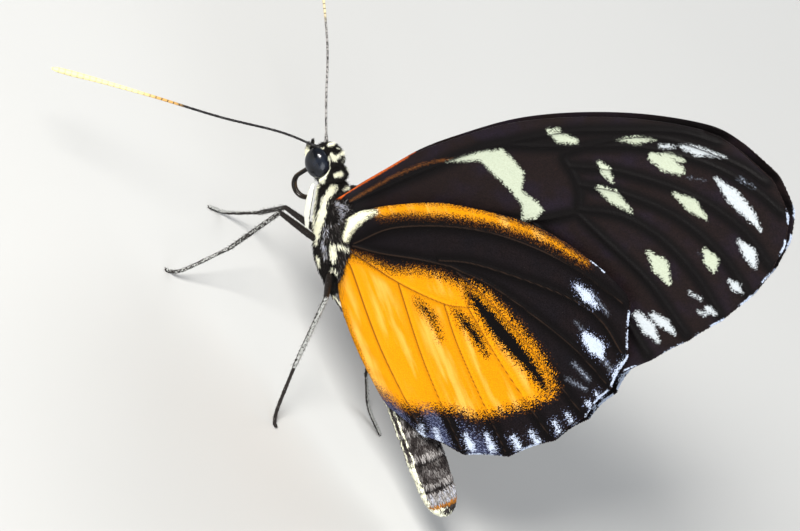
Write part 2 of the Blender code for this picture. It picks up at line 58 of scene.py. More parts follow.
MM = 0.001
SIDES = ((-1, "left"), (1, "right"))

# Body

THORAX_CENTRE = (-0.2, 11.55)
BODY_PITCH = 37.0
EYE_CENTRE = (5.66, -0.52, 0.98)
EYE_RADII = (1.26, 1.06, 0.76)
# Facets to a millimetre
EYE_FACETS = 9.0
HEAD_CENTRE = (5.80, 0.02)
HEAD_RADII = (1.38, 1.45, 1.28)
COLLAR_CENTRE = (4.55, 0.20)
COLLAR_RADII = (0.95, 1.50, 1.36)
# Place along the body, reach up, reach down and half width
THORAX_STATIONS = (
    (4.35, 0.45, 0.40, 0.50), (4.10, 1.25, 0.85, 1.05), (3.50, 1.70, 1.10, 1.42), (2.40, 1.98, 1.32, 1.66),
    (1.00, 2.02, 1.60, 1.76), (-0.60, 1.92, 1.82, 1.76), (-2.20, 1.68, 1.82, 1.60), (-3.60, 1.34, 1.55, 1.32),
    (-4.60, 0.90, 0.98, 0.95), (-4.95, 0.35, 0.40, 0.40),
)
ABDOMEN_AXIS = (
    (3.5, 8.75), (6.5, 8.75), (10.0, 8.3), (13.5, 7.55), (17.0, 6.5), (20.0, 5.5), (22.5, 4.65),
    (24.12, 4.05),
)
ABDOMEN_RADII = (0.80, 1.18, 1.40, 1.50, 1.56, 1.60, 1.42, 0.62)
ABDOMEN_RINGS = (0.10, 0.22, 0.34, 0.46, 0.575, 0.68, 0.80, 0.888)
TAWNY_REACH = (0.888, 0.91)
PEARL_FROM = 0.815
# Height over the abdomen's line and half width of the pale lines on its side
SIDE_LINES = ((-0.45, 0.16), (-1.15, 0.22))
# Reach up, reach down and half width of the abdomen for each millimetre of its radius
ABDOMEN_OVAL = (1.0, 1.02, 0.96)
COAT_DEPTH = 0.24
ABDOMEN_COAT = 0.09
# Where the abdomen's marks and flat scales begin, in x, and the neck as a share of the way to the tail
WAIST_X = 4.2
HAIR_END_X = 3.6
NECK_SHARE = 0.165
# From the nose to inside the waist, along the body, and the creases as place and depth
FRONT_REACH = (7.10, -4.2)
FRONT_STEPS = 180
NOSE_RADIUS = 0.04
CREASES = ((5.28, 0.10), (3.98, 0.16), (-0.9, 0.05))
CREASE_WIDTH = 0.16
# Depth or height and width of the groove behind each ring's edge and of the swelling before it
RING_GROOVE = (0.15, 0.014)
RING_SWELL = (0.05, 0.03)
# Steps from each point of the abdomen's line to the next, those hidden in the thorax and those of the end
ABDOMEN_STEPS = 24
WAIST_STEPS = 12
TAIL_STEPS = 24
TAIL_RADIUS = 0.86
TAIL_POWER = 3.4
BODY_RINGS = 400
BODY_COLUMNS = 112
SKIN_GRAIN = 0.012
VALVE = ((22.5, 4.62, 0.42), (23.2, 4.28, 0.48), (23.75, 4.06, 0.44))
VALVE_RADII = (0.50, 0.62, 0.56, 0.30)
VALVE_DARK_ABOVE = 4.55

# Hair over the wing roots, and the pad over each forewing's hinge as places along, above and across the body

FOREWING_ROOT_COAT = (
    (-1.95, 13.75), (-1.75, 14.20), (-1.30, 14.70), (-0.70, 14.85), (-0.10, 14.55), (0.15, 13.85),
    (0.15, 13.0), (-0.60, 12.70), (-1.20, 13.0),
)
HINDWING_ROOT_COAT = (
    (-0.35, 12.0), (-0.30, 13.2), (-0.25, 14.1), (0.10, 13.6), (0.45, 13.0), (0.95, 12.65), (1.55, 12.85),
    (2.0, 12.75), (2.3, 12.25), (2.55, 11.7), (3.2, 10.9), (3.4, 10.2), (1.9, 10.9), (0.7, 11.4),
)
ROOT_COAT_SOURCE = (-1.6, 12.6)
TEGULA = ((3.15, 1.45, 1.05), (2.55, 1.90, 1.18), (1.75, 2.02, 1.28))
TEGULA_RADII = (0.20, 0.36, 0.38, 0.22)

# Head and feelers, along the body, above its axis and across it

PALP = ((5.3, -1.20, 0.44), (5.9, -1.52, 0.43), (6.5, -1.58, 0.42), (7.05, -1.48, 0.42))
PALP_RADII = (0.15, 0.18, 0.16, 0.07)
TONGUE_ROOT = (5.25, -1.2)
COIL_CENTRE = (3.35, -2.14)
COIL_RADIUS = 1.12
COIL_TIP = 0.82
COIL_TURN = (28.0, 205.0)
TUBE_SPACING = 0.135
# Shares of the length and the radii there, and how many ripples the radius has in radians
TUBE_PROFILE = ((0, 0.9, 1), (0.19, 0.16, 0.09))
TUBE_RINGS = 420
ANTENNA_ROOT = (6.75, -0.35, 0.52)
# Places along each feeler, in x, y and z
ANTENNA_TIPS = {
    "left": (
        (-8.7, -2.5, 14.4), (-12.4, -6.0, 12.8), (-16.6, -9.4, 11.1), (-20.0, -11.9, 9.5), (-23.0, -14.0, 7.9),
    ),
    "right": (
        (-8.8, 2.5, 16.7), (-12.0, 5.0, 18.1), (-15.6, 7.7, 19.1), (-18.8, 10.0, 19.8), (-21.6, 12.1, 20.2),
    ),
}
FEELER_JOINTS = 46
FEELER_FLECKS = {"left": 0.12, "right": 1.0}
# Share of the length and radius there
FEELER_PROFILE = (
    (0, 0.17), (0.02, 0.17), (0.05, 0.10), (0.54, 0.10), (0.68, 0.125), (0.80, 0.16), (0.93, 0.235),
    (0.985, 0.20), (1, 0.10),
)
# Place and radius of the two rings of each socket
SOCKET_BEADS = ((-0.05, 0.25), (0.22, 0.20))

# Legs: root, knee, ankle, sole and toe of each walking leg, as (x, outward, z)

LEGS = {
    "midleg_left": ((0.3, 0.7, 10.2), (-3.6, 4.0, 10.8), (-3.8, 3.3, 4.6), (-4.6, 5.3, 0.9), (-5.2, 5.7, 0)),
    "midleg_right": ((0.3, 0.7, 10.2), (-3.9, 3.2, 7.2), (-5.0, 6.2, 3.0), (-6.6, 6.2, 0.35), (-7.6, 5.4, 0)),
    "hindleg_left": ((2.5, 0.4, 9.2), (4.1, 4.8, 10.0), (7.0, 5.8, 4.4), (8.9, 6.3, 0.9), (9.7, 6.5, 0)),
    "hindleg_right": ((2.5, 0.4, 9.2), (6.6, 4.6, 8.4), (11.2, 5.6, 2.4), (13.4, 5.8, 0.45), (15.5, 5.6, 0)),
}
FEMUR_RADII = (0.22, 0.28, 0.25, 0.19)
TIBIA_RADII = (0.19, 0.185, 0.18, 0.185, 0.17)
TARSUS_RADII = (0.145, 0.13, 0.155)
TARSUS_CUTS = (0.0, 0.46, 0.62, 0.75, 0.86, 1.0)
BRUSH_RADII = (0.14, 0.20, 0.21, 0.13)
TOE_PAST_FLAT = 0.25
FLOOR_GAP = 0.01
PALE_SIDE = (0.0, 0.35, 1.0)
# Share of pale scales on each leg, partly painted light: the far right legs, which lie in shade, get more, and
# the near left legs, which the key light brightens, get fewer
TIBIA_PALE_AND_PAINTED_LIGHT = {"midleg_left": 0.50, "midleg_right": 0.80, "hindleg_left": 0.66, "hindleg_right": 1.10}
TARSUS_PALE_AND_PAINTED_LIGHT = {"midleg_left": 0.50, "midleg_right": 0.85, "hindleg_left": 0.26, "hindleg_right": 1.30}
FORELEG = ((0.3, -1.80, 0.95), (1.4, -1.68, 1.00), (2.6, -1.42, 0.98), (3.75, -1.10, 0.88))

# Body marks in the side view: every mark is a chain of (x, z, half width)

BODY_CREAM = (
    ((-2.62, 14.25, 0.28), (-2.45, 13.70, 0.26)),
    ((-2.38, 13.43, 0.24), (-1.56, 12.43, 0.32), (-0.86, 11.28, 0.36), (-0.16, 10.18, 0.33)),
    ((-3.5, 13.3, 0.14), (-2.6, 12.2, 0.17), (-1.3, 11.0, 0.14)),
    ((1.05, 11.75, 0.20), (1.45, 11.45, 0.26), (1.95, 10.85, 0.22)),
    ((1.35, 12.22, 0.14), (1.80, 12.50, 0.14)),
    ((1.08, 9.50, 0.20), (1.60, 8.95, 0.15)),
    ((2.51, 9.92, 0.20), (2.76, 10.54, 0.15)),
)
BODY_DOTS = (
    ((-5.66, 16.02, 0.13), (-5.50, 16.22, 0.14)),
    ((-5.00, 16.40, 0.10), (-4.80, 16.46, 0.10)),
    ((-4.25, 16.34, 0.09), (-3.90, 16.10, 0.16), (-3.62, 15.82, 0.12)),
    ((-4.56, 16.36, 0.10), (-4.48, 16.08, 0.14)),
    ((-4.98, 15.90, 0.08), (-4.78, 15.92, 0.14), (-4.38, 15.84, 0.15)),
    ((-5.75, 15.46, 0.08), (-5.66, 15.58, 0.08)),
    ((-6.26, 14.62, 0.09), (-6.20, 14.78, 0.09)),
)
BODY_CREST = (((-2.04, 14.76, 0.12), (-1.88, 14.98, 0.11)),)
BODY_WHITE = (
    ((-3.34, 15.18, 0.20), (-3.18, 15.50, 0.21)),
    ((-4.74, 15.61, 0.10), (-4.20, 15.02, 0.19), (-3.86, 14.32, 0.28), (-3.62, 13.86, 0.26)),
)
BODY_GREY = (
    ((-1.38, 14.11, 0.10), (-0.94, 14.35, 0.22), (-0.62, 13.70, 0.14), (-0.25, 13.25, 0.10)),
    ((0.5, 10.9, 0.20), (1.48, 10.32, 0.20)),
    ((-0.35, 12.2, 0.08), (-0.05, 11.5, 0.10)),
)

# Wings

FOREWING_COSTA = (
    (-1.7, 13.7), (-1.7, 15.4), (-1.4, 18.4), (-1.0, 21.9), (-0.1, 25.4), (1.6, 30.4), (4.1, 35.1),
    (7.4, 39.8), (11.1, 43.7),
)
FOREWING_MARGIN = (
    (13.9, 45.2), (17.2, 45.9), (20.1, 45.2), (21.9, 43.4), (23.0, 41.0), (23.7, 38.2), (23.9, 35.2),
    (23.7, 31.8), (23.3, 28.2), (22.6, 24.9),
)
FOREWING_INNER = (
    (20.6, 23.2), (16.5, 21.3), (11.0, 18.6), (6.0, 16.2), (2.6, 14.4), (0.6, 12.8), (-0.6, 12.4),
)
FOREWING_VEINS = (
    ((-1.0, 14.6), (-0.3, 17.6), (0.5, 21.5), (2.2, 27.9), (4.5, 31.5), (6.5, 34.5)),
    ((1.8, 27.1), (4.6, 33.6), (7.0, 37.6), (9.9, 41.8), (12.3, 43.9)),
    ((6.5, 34.5), (8.3, 38.6), (10.6, 41.4), (14.6, 44.2), (17.0, 45.2)),
    ((6.5, 34.5), (9.1, 38.4), (12.9, 42.0), (16.6, 44.0), (19.6, 44.8)),
    ((6.5, 34.5), (6.2, 32.7), (7.9, 32.4), (9.2, 31.9), (10.3, 30.8)),
    ((-0.4, 14.4), (2.3, 17.7), (5.2, 22.1), (8.7, 26.9), (10.4, 30.6)),
    ((7.1, 32.5), (9.8, 35.8), (14.3, 39.4), (18.6, 41.2), (22.3, 41.3)),
    ((8.7, 32.2), (11.1, 34.7), (15.0, 37.3), (19.4, 38.5), (23.1, 38.4)),
    ((10.3, 31.0), (12.6, 33.6), (15.9, 35.2), (19.8, 35.7), (23.2, 35.4)),
    ((10.4, 30.6), (13.4, 31.2), (18.0, 32.1), (23.0, 32.0)),
    ((8.7, 26.9), (13.4, 27.9), (18.5, 28.5), (22.6, 28.2)),
    ((1.4, 14.6), (6.0, 17.6), (12.0, 20.8), (18.0, 23.6), (21.9, 25.0)),
)
HINDWING_COSTA = (
    (0.2, 11.9), (0.0, 14.7), (0.6, 16.6), (1.6, 18.7), (3.4, 21.7), (5.7, 24.2), (8.2, 26.5), (10.8, 28.2),
    (13.8, 29.4), (16.6, 30.1),
)
HINDWING_MARGIN = (
    (18.8, 30.0), (22.0, 27.1), (23.3, 24.2), (24.0, 20.8), (24.1, 17.1), (23.1, 12.9), (20.9, 9.6),
    (17.8, 7.8), (14.2, 7.0),
)
HINDWING_INNER = ((10.9, 7.4), (8.0, 8.1), (5.3, 9.1), (3.4, 10.2), (1.9, 11.1))
HINDWING_VEINS = (
    ((1.9, 13.3), (3.0, 17.5), (7.0, 23.2), (12.5, 27.4), (18.2, 29.6)),
    ((2.0, 13.1), (3.7, 14.6), (6.0, 17.2), (8.0, 19.2)),
    ((7.0, 18.6), (9.2, 21.3), (14.7, 25.6), (18.1, 27.1), (21.4, 26.9)),
    ((8.0, 19.2), (11.8, 21.4), (18.4, 23.6), (22.6, 24.2)),
    ((8.6, 19.3), (12.0, 20.1), (16.7, 20.6), (23.3, 20.8)),
    ((8.6, 19.3), (10.0, 19.6), (11.4, 18.2)),
    ((2.2, 12.6), (6.5, 14.4), (10.0, 16.6), (11.4, 18.2)),
    ((11.4, 18.2), (16.3, 17.6), (23.4, 17.2)),
    ((10.1, 16.6), (14.0, 15.2), (22.5, 13.1)),
    ((6.5, 14.4), (12.8, 12.0), (20.4, 9.9)),
    ((3.0, 11.9), (10.0, 9.7), (17.2, 8.2)),
)
FOREWING_STANDOFF = 0.60
HINDWING_STANDOFF = 1.56
FOREWING_HINGE = (-1.35, 14.2)
FOREWING_SPLAY = (0.85, 1.7)
HINDWING_SWELL = (0.62, 2.6)
RIGHT_DROOP = 3.5
HINDWING_SWELL_END = (18.0, 4.0)
FOREWING_OFFSET = 0.12
HINDWING_OFFSET = -0.08
SCALLOP_DEPTH = 0.28
FOREWING_SCALLOP = 0.4
MEMBRANE = 0.10
# Height and width of the crest and of the fold over each vein
VEIN_CREST = (0.09, 0.13)
VEIN_FOLD = (0.09, 0.7)
# Height of the ripple between the veins, and its radians along and across the wing
RIPPLE = 0.02
RIPPLE_TURNS = (41, 6)
EDGE_FADE = 0.25
UNDER_RELIEF = 0.4
FRINGE_LENGTH = 0.14
FRINGE_INSET = 1.4
SCALE_SPACING = 0.075
SCALE_HALF_WIDTH = 0.055
SCALE_HALF_THICKNESS = 0.008
SCALE_LAYER = 0.012
SCALE_SWAY = 0.10
# Columns to each row of a wing's points, and the span of the map that its rows of scales are laid in
WING_COLUMNS = 0.72
ROWS_SPAN = (38.0, 20.0)
DASH_HALF_WIDTH = 0.25
BORDER_TOP = (9.5, 17.0)
BORDER_FADE = 5.0
FIELD_SLOPE = 16.0

# Wing pattern: every mark is a chain of (x, z, half width)

CELL_BAR = (
    (1.1, 24.0), (1.4, 25.2), (2.0, 27.0), (2.9, 28.7), (3.9, 28.9), (5.4, 29.0), (6.5, 27.9), (7.9, 28.4),
    (8.7, 28.4), (8.9, 27.4), (8.4, 26.3), (7.3, 27.1), (5.8, 27.0), (4.3, 26.7), (2.6, 26.4), (1.8, 25.1),
)
FOREWING_CREAM = (
    ((4.14, 32.94, 0.20), (4.83, 33.31, 0.46), (5.76, 34.23, 0.28)),
    ((3.85, 32.89, 0.12), (4.30, 33.67, 0.12)),
    ((7.64, 37.23, 0.06), (8.54, 38.55, 0.36), (9.37, 39.92, 0.06)),
    ((10.35, 38.78, 0.40), (11.35, 39.44, 0.74), (12.41, 39.98, 0.40)),
    ((10.83, 39.86, 0.30), (11.83, 40.66, 0.24)),
    ((8.21, 34.84, 0.16), (9.06, 34.85, 0.46), (10.0, 34.72, 0.16)),
    ((9.77, 33.48, 0.22), (11.03, 34.03, 0.60), (12.81, 34.5, 0.12)),
    ((13.59, 38.46, 0.16), (15.08, 39.04, 0.64), (16.65, 39.35, 0.12)),
    ((18.57, 37.66, 0.25), (19.47, 37.57, 0.64), (20.15, 37.23, 0.24)),
    ((16.17, 33.61, 0.20), (17.52, 33.71, 0.76), (18.91, 33.47, 0.24)),
)
FOREWING_FROST = (
    ((10.0, 39.9, 0.12), (10.64, 40.78, 0.12)),
    ((10.93, 41.32, 0.16), (11.91, 42.13, 0.40), (12.79, 42.99, 0.22), (13.61, 43.81, 0.05)),
    ((14.52, 42.04, 0.14), (16.45, 42.29, 0.62), (18.3, 42.53, 0.48), (19.75, 42.47, 0.08)),
    ((19.5, 40.46, 0.20), (20.68, 40.56, 0.62), (21.71, 40.28, 0.24)),
    ((19.66, 29.55, 0.36), (20.98, 29.65, 0.62), (22.18, 29.64, 0.20)),
    ((20.37, 30.68, 0.30), (21.36, 31.02, 0.50), (22.52, 31.22, 0.14)),
    ((21.65, 37.83, 0.20), (22.2, 37.95, 0.46), (22.71, 38.03, 0.20)),
    ((20.53, 34.39, 0.10), (21.38, 34.83, 0.15)),
    ((22.16, 34.02, 0.10), (22.54, 34.32, 0.22)),
    ((22.44, 34.88, 0.28), (22.96, 35.1, 0.20)),
)
FOREWING_FAINT = (
    ((15.58, 43.67, 0.30), (16.71, 44.15, 0.22)), ((18.37, 37.05, 0.10), (18.89, 37.26, 0.15)),
    ((13.2, 40.2, 0.15), (14.2, 41.2, 0.12)),
)
FOREWING_RUST = (
    ((-1.6, 13.9, 0.12), (-1.80, 15.2, 0.15), (-1.62, 16.5, 0.11), (-1.40, 18.3, 0.09), (-1.05, 21.5, 0.04)),
)
FOREWING_STREAK = (
    ((-1.0, 15.2, 0.04), (-0.9, 16.03, 0.06), (-0.76, 17.17, 0.06), (-0.58, 18.96, 0.06), (-0.3, 20.44, 0.06),
     (0.03, 21.86, 0.06), (0.67, 23.58, 0.05), (1.2, 24.6, 0.03)),
)
HINDWING_FIELD = (
    (2.6, 11.3), (2.5, 12.4), (3.6, 13.3), (5.4, 14.5), (6.6, 16.4), (8.0, 17.8), (9.2, 18.6), (10.1, 19.7),
    (11.5, 20.4), (13.4, 20.6), (15.3, 20.85), (17.6, 20.95), (19.5, 20.7), (20.65, 20.2), (20.9, 19.3),
    (20.5, 17.4), (20.0, 15.9), (19.5, 14.3), (18.8, 12.7), (17.1, 11.3), (15.9, 9.4), (14.6, 8.0),
    (13.0, 7.4), (11.4, 6.9), (8.2, 7.9), (4.8, 9.1),
)
HINDWING_DARK = (
    ((8.57, 14.70, 0.02), (9.37, 14.82, 0.24), (10.4, 14.87, 0.22), (11.45, 14.66, 0.08),
     (12.07, 14.37, 0.0)),
    ((11.1, 17.0, 0.10), (12.19, 17.09, 0.36), (13.44, 17.18, 0.40), (14.41, 17.1, 0.26), (15.3, 16.9, 0.0)),
    ((10.5, 18.95, 0.26), (11.57, 19.08, 0.50), (13.1, 19.15, 0.68), (14.6, 19.22, 0.78),
     (16.45, 19.4, 0.70), (18.2, 19.5, 0.54), (19.8, 19.5, 0.40)),
)
HINDWING_RUST = (
    ((1.1, 16.9, 0.40), (2.2, 19.1, 0.50), (4.1, 21.8, 0.50), (6.4, 24.3, 0.42), (9.2, 26.6, 0.30),
     (11.8, 28.1, 0.21), (14.0, 29.1, 0.06)),
)
HINDWING_CREAM = (
    ((1.3, 12.7, 0.26), (0.75, 13.4, 0.42), (0.45, 14.3, 0.50), (0.45, 15.2, 0.46), (0.65, 15.9, 0.30),
     (0.95, 16.6, 0.12)),
)
HINDWING_FROST = (
    ((16.9, 8.32, 0.16), (17.66, 7.91, 0.17)), ((17.88, 9.1, 0.17), (18.96, 8.65, 0.26)),
    ((19.62, 10.96, 0.18), (20.58, 10.72, 0.42)), ((20.59, 12.54, 0.18), (21.67, 12.19, 0.38)),
    ((21.98, 14.41, 0.25), (22.84, 14.26, 0.32)), ((22.43, 15.95, 0.18), (23.4, 15.92, 0.32)),
    ((22.83, 18.29, 0.17), (23.77, 18.06, 0.23)), ((22.95, 19.63, 0.17), (23.94, 19.47, 0.20)),
    ((23.04, 21.76, 0.17), (23.84, 21.87, 0.20)), ((22.78, 22.85, 0.14), (23.46, 22.84, 0.20)),
    ((15.05, 27.17, 0.18), (16.04, 27.36, 0.50), (17.3, 27.5, 0.10)),
    ((18.80, 25.16, 0.46), (19.80, 25.36, 0.70), (20.75, 25.17, 0.18)),
    ((22.46, 25.18, 0.17), (21.9, 26.62, 0.17)),
)
HINDWING_FAINT = (
    ((19.86, 22.84, 0.14), (21.5, 23.08, 0.16)), ((20.56, 21.56, 0.12), (22.0, 22.28, 0.14)),
    ((16.2, 27.9, 0.05), (18.2, 27.9, 0.10)), ((17.2, 25.2, 0.05), (22.0, 25.2, 0.15)),
)

# White dashes of the fringe, as chains along the margin

FOREWING_DASHES = (
    ((19.7, 45.5), (20.5, 44.9)), ((21.6, 43.5), (22.2, 42.8)), ((23.1, 40.8), (23.2, 40.1)),
    ((23.6, 38.4), (23.7, 37.4)), ((23.9, 35.3), (23.8, 34.3)), ((23.8, 32.8), (23.8, 32.6)),
    ((23.7, 31.3), (23.5, 29.5)), ((23.3, 27.1), (22.7, 25.9)),
)
HINDWING_DASHES = (
    ((14.1, 29.72), (15.2, 30.02)), ((19.2, 29.4), (19.9, 28.9)), ((20.4, 28.5), (21.3, 27.7)),
    ((21.9, 26.9), (22.3, 26.1)), ((22.5, 25.4), (23.0, 24.6)), ((23.2, 23.6), (23.4, 22.3)),
    ((23.8, 21.6), (24.0, 21.0)), ((24.2, 18.8), (24.2, 17.7)), ((23.9, 16.0), (23.4, 15.1)),
    ((23.4, 14.6), (23.4, 13.8)), ((22.8, 12.2), (22.0, 11.3)), ((21.5, 10.9), (21.2, 10.0)),
    ((20.0, 8.8), (19.1, 8.4)), ((17.9, 7.8), (17.1, 7.6)),
)

# Colours

DARK_SCALES = (0.0022, 0.0016, 0.0018)
DARK_BROWN = (0.0105, 0.0060, 0.0058)
VIOLET_SHEEN = (0.0115, 0.0075, 0.0135)
# Painted sheen between the hindwing veins
SLATE_SHEEN = (0.0040, 0.0043, 0.0068)
BORDER_VIOLET = (0.018, 0.021, 0.048)
HALO_BLUE = (0.19, 0.225, 0.36)
CREAM = (0.405, 0.445, 0.345)
FROST = (0.44, 0.50, 0.63)
FROST_WARM = (0.45, 0.485, 0.51)
RUST = (0.50, 0.090, 0.012)
RUST_DARK = (0.27, 0.090, 0.018)
ORANGE = (0.60, 0.234, 0.001)
# Painted highlight streaks of the orange field
ORANGE_HIGHLIGHT = (0.76, 0.42, 0.09)
ORANGE_DEEP = (0.42, 0.120, 0.003)
ORANGE_BURNT = (0.20, 0.062, 0.004)
COAT_BLACK = (0.0030, 0.0026, 0.0028)
COAT_BROWN = (0.0110, 0.0085, 0.0075)
COAT_CREAM = (0.84, 0.82, 0.58)
COAT_WHITE = (0.93, 0.93, 0.80)
COAT_GREY = (0.36, 0.34, 0.33)
COAT_GREY_DARK = (0.062, 0.050, 0.048)
COAT_PEARL = (0.40, 0.41, 0.47)
COAT_TAWNY = (0.36, 0.15, 0.015)
EYE_DARK = (0.0022, 0.0026, 0.0040)
EYE_BLUE = (0.010, 0.013, 0.021)
TONGUE_DARK = (0.0030, 0.0024, 0.0020)
TONGUE_BROWN = (0.0080, 0.0048, 0.0030)
# Painted highlight of the tongue
TONGUE_GOLD_HIGHLIGHT = (0.30, 0.15, 0.03)
FEELER_BLACK = (0.006, 0.005, 0.005)
FEELER_GREY = (0.28, 0.27, 0.26)
FEELER_YELLOW = (0.78, 0.67, 0.33)
FEELER_RUST = (0.52, 0.27, 0.055)
FEELER_PALE = (0.55, 0.47, 0.29)
VEIN_DARK = (0.022, 0.013, 0.009)
VEIN_ORANGE = (0.085, 0.025, 0.004)
LEG_BLACK = (0.0060, 0.0052, 0.0056)
LEG_BROWN = (0.024, 0.018, 0.015)
LEG_PALE = (0.34, 0.345, 0.33)
BRUSH_WHITE = (0.86, 0.86, 0.76)
FLOOR_GREY = (0.50, 0.50, 0.49)
FLOOR_SHADE = 0.94
SKY = (0.80, 0.86, 0.95)
SKY_STRENGTH = 0.28
# Studio lights: name, place in metres, size, power in watts and tint
LAMPS = (
    ("key", (-0.16, -0.34, 0.34), 0.16, 8.5, (1.0, 0.98, 0.94)),
    ("fill", (0.34, -0.34, 0.16), 0.30, 2.2, (0.92, 0.96, 1.0)),
    ("rim", (0.05, 0.38, 0.34), 0.30, 2.4, (1.0, 1.0, 1.0)),
)
LAMP_AIM = (0, 0, 0.02)

# Camera: the picture's left to right and bottom to top, turned about the line of sight

CAMERA_ELEVATION = 30.0
CAMERA_ROLL = 53.6
CAMERA_DISTANCE = 320.0
CAMERA_AIM = (5.5, 0.0, 14.5)
PICTURE_WIDTH = 64.24
SENSOR_WIDTH = 36.0

# Plain numbers: a distance past everything, one that keeps a division safe, and an even spread of points

FAR_AWAY = 1e9
LEAST = 1e-12
SPREAD = (0.7548776662, 0.5698402910)

# Directions that rods and limbs don't run along, angles of the rings that close a rod, size of a tuft's patch on
# the map, and how deep its root is sunk as a share of its length

GUIDE = (0.31, 0.83, 0.47)
LIMB_GUIDE = (0.0, 0.25, 1.0)
DOME_ANGLES = np.radians([12, 40, 68])
BAKE_PATCH = 0.001
TUFT_SUNK = 0.06


def spline(points, steps, closed=False):
    """A Catmull-Rom curve through the points, with this many steps from each to the next: cubics whose slope
    at a point is half the way between its two neighbours."""
    points = np.asarray(points, float)
    count = len(points)
    if closed:
        order = (np.arange(count)[:, None] + np.array([-1, 0, 1, 2])) % count
    else:
        points = np.vstack([2 * points[0] - points[1], points, 2 * points[-1] - points[-2]])
        order = np.arange(count - 1)[:, None] + np.arange(4)
    a, b, c, d = points[order].transpose(1, 0, 2)[:, :, None, :]
    t = (np.arange(steps) / steps)[None, :, None]
    curve = 0.5 * (2 * b + (c - a) * t + (2 * a - 5 * b + 4 * c - d) * t**2 + (3 * b - a - 3 * c + d) * t**3)
    curve = curve.reshape(-1, points.shape[1])
    return curve if closed else np.vstack([curve, points[-2]])


def even(line, count):
    """A line taken again at this many even steps of its running length, straight between its points."""
    step = np.linalg.norm(np.diff(line, axis=0), axis=1)
    way = np.concatenate([[0.0], np.cumsum(step)])
    places = np.linspace(0, way[-1], count)
    return np.stack([np.interp(places, way, line[:, k]) for k in range(line.shape[1])], axis=1)


def unit(vectors, least=0.0):
    """Vectors divided by their own length; a least length is added where one can be zero."""
    return vectors / (np.linalg.norm(vectors, axis=-1, keepdims=True) + least)


def stretched_to(values, count):
    """A few values taken again at this many even steps, straight between them."""
    return np.interp(np.linspace(0, 1, count), np.linspace(0, 1, len(values)), values)


def on_body(along, above, across=0.0):
    """A point given along the body axis, above it and across it, as x, y and z: the thorax's centre plus both
    distances turned by the body's pitch."""
    pitch = math.radians(BODY_PITCH)
    x = THORAX_CENTRE[0] - along * math.cos(pitch) + above * math.sin(pitch)
    z = THORAX_CENTRE[1] + along * math.sin(pitch) + above * math.cos(pitch)
    return np.stack(np.broadcast_arrays(x, across, z), axis=-1)


def body_path(table, side, steps):
    """A curve through places given along, above and across the body, on one side of it."""
    along, above, across = np.array(table).T
    return spline(on_body(along, above, side * across), steps)


def datum():
    """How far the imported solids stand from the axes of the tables, found from the boxes of the two eyes."""
    corners = np.array([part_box(name) for name in ("eye_left", "eye_right")])
    middle = corners.reshape(-1, 3).min(axis=0) + corners.reshape(-1, 3).max(axis=0)
    return middle / 2 - on_body(EYE_CENTRE[0], EYE_CENTRE[1]) * MM


def mesh_piece(name, points, faces, node_names, material, attributes=None, uvs=None):
    """A finished piece: millimetre points put in the frame, faces outward, riding on the one still body."""
    mesh = bpy.data.meshes.new(name)
    mesh.from_pydata((np.asarray(points) * MM + datum()).tolist(), [], faces)
    for key, values in (attributes or {}).items():
        mesh.attributes.new(key, "FLOAT", "POINT").data.foreach_set("value", np.asarray(values, np.float32))
    for key, values in (uvs or {}).items():
        corner = np.empty(len(mesh.loops), np.int32)
        mesh.loops.foreach_get("vertex_index", corner)
        mesh.uv_layers.new(name=key).data.foreach_set("uv", np.asarray(values, np.float32)[corner].ravel())
    mesh.polygons.foreach_set("use_smooth", np.ones(len(mesh.polygons), bool))
    mesh.materials.append(material)
    mesh.update()
    mesh.validate()
    if not len(mesh.polygons):
        raise RuntimeError(name + " has no faces")
    piece = bpy.data.objects.new(name, mesh)
    bpy.context.collection.objects.link(piece)
    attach(piece, "root")
    if node_names:
        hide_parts(*node_names)
    return piece


def chain_distance(points, chain):
    """Signed distance in a plane to a chain of (x, z, half width): the least distance to its stretches less
    the half width there, so that inside is below zero."""
    best = np.full(len(points), FAR_AWAY)
    chain = np.asarray(chain, float)
    for a, b in zip(chain[:-1], chain[1:]):
        run = b[:2] - a[:2]
        share = np.clip((points - a[:2]) @ run / max(run @ run, LEAST), 0, 1)
        away = np.linalg.norm(points - a[:2] - share[:, None] * run, axis=1)
        best = np.minimum(best, away - a[2] - share * (b[2] - a[2]))
    return best


def marks_distance(points, chains):
    """Signed distance to the nearest of several chains."""
    return np.min([chain_distance(points, chain) for chain in chains], axis=0)


def line_distance(points, lines):
    """Distance in a plane to the nearest of several lines."""
    best = np.full(len(points), FAR_AWAY)
    for line in lines:
        run = np.diff(line, axis=0)
        for a, step in zip(line[:-1], run):
            share = np.clip((points - a) @ step / max(step @ step, LEAST), 0, 1)
            best = np.minimum(best, np.linalg.norm(points - a - share[:, None] * step, axis=1))
    return best


def patch_distance(points, polygon):
    """Signed distance to a closed outline, below zero inside, by counting the edges that a ray crosses."""
    a, b = np.asarray(polygon, float), np.roll(polygon, -1, axis=0)
    x, z = points[:, :1], points[:, 1:]
    crosses = ((a[:, 1] > z) != (b[:, 1] > z)) & (
        x < (b[:, 0] - a[:, 0]) * (z - a[:, 1]) / (b[:, 1] - a[:, 1] + LEAST) + a[:, 0]
    )
    within = crosses.sum(axis=1) % 2 == 1
    away = line_distance(points, [np.vstack([a, a[:1]])])
    return np.where(within, -away, away)


def grid_faces(rows, columns, start=0, wrap=False, flip=False):
    """Quads of a grid of points, optionally joined from its last column back to its first."""
    i, j = np.meshgrid(np.arange(rows - 1), np.arange(columns if wrap else columns - 1), indexing="ij")
    here, after = i * columns + j, i * columns + (j + 1) % columns
    quads = np.stack([here, after, after + columns, here + columns], axis=-1).reshape(-1, 4) + start
    return (quads[:, ::-1] if flip else quads).tolist()


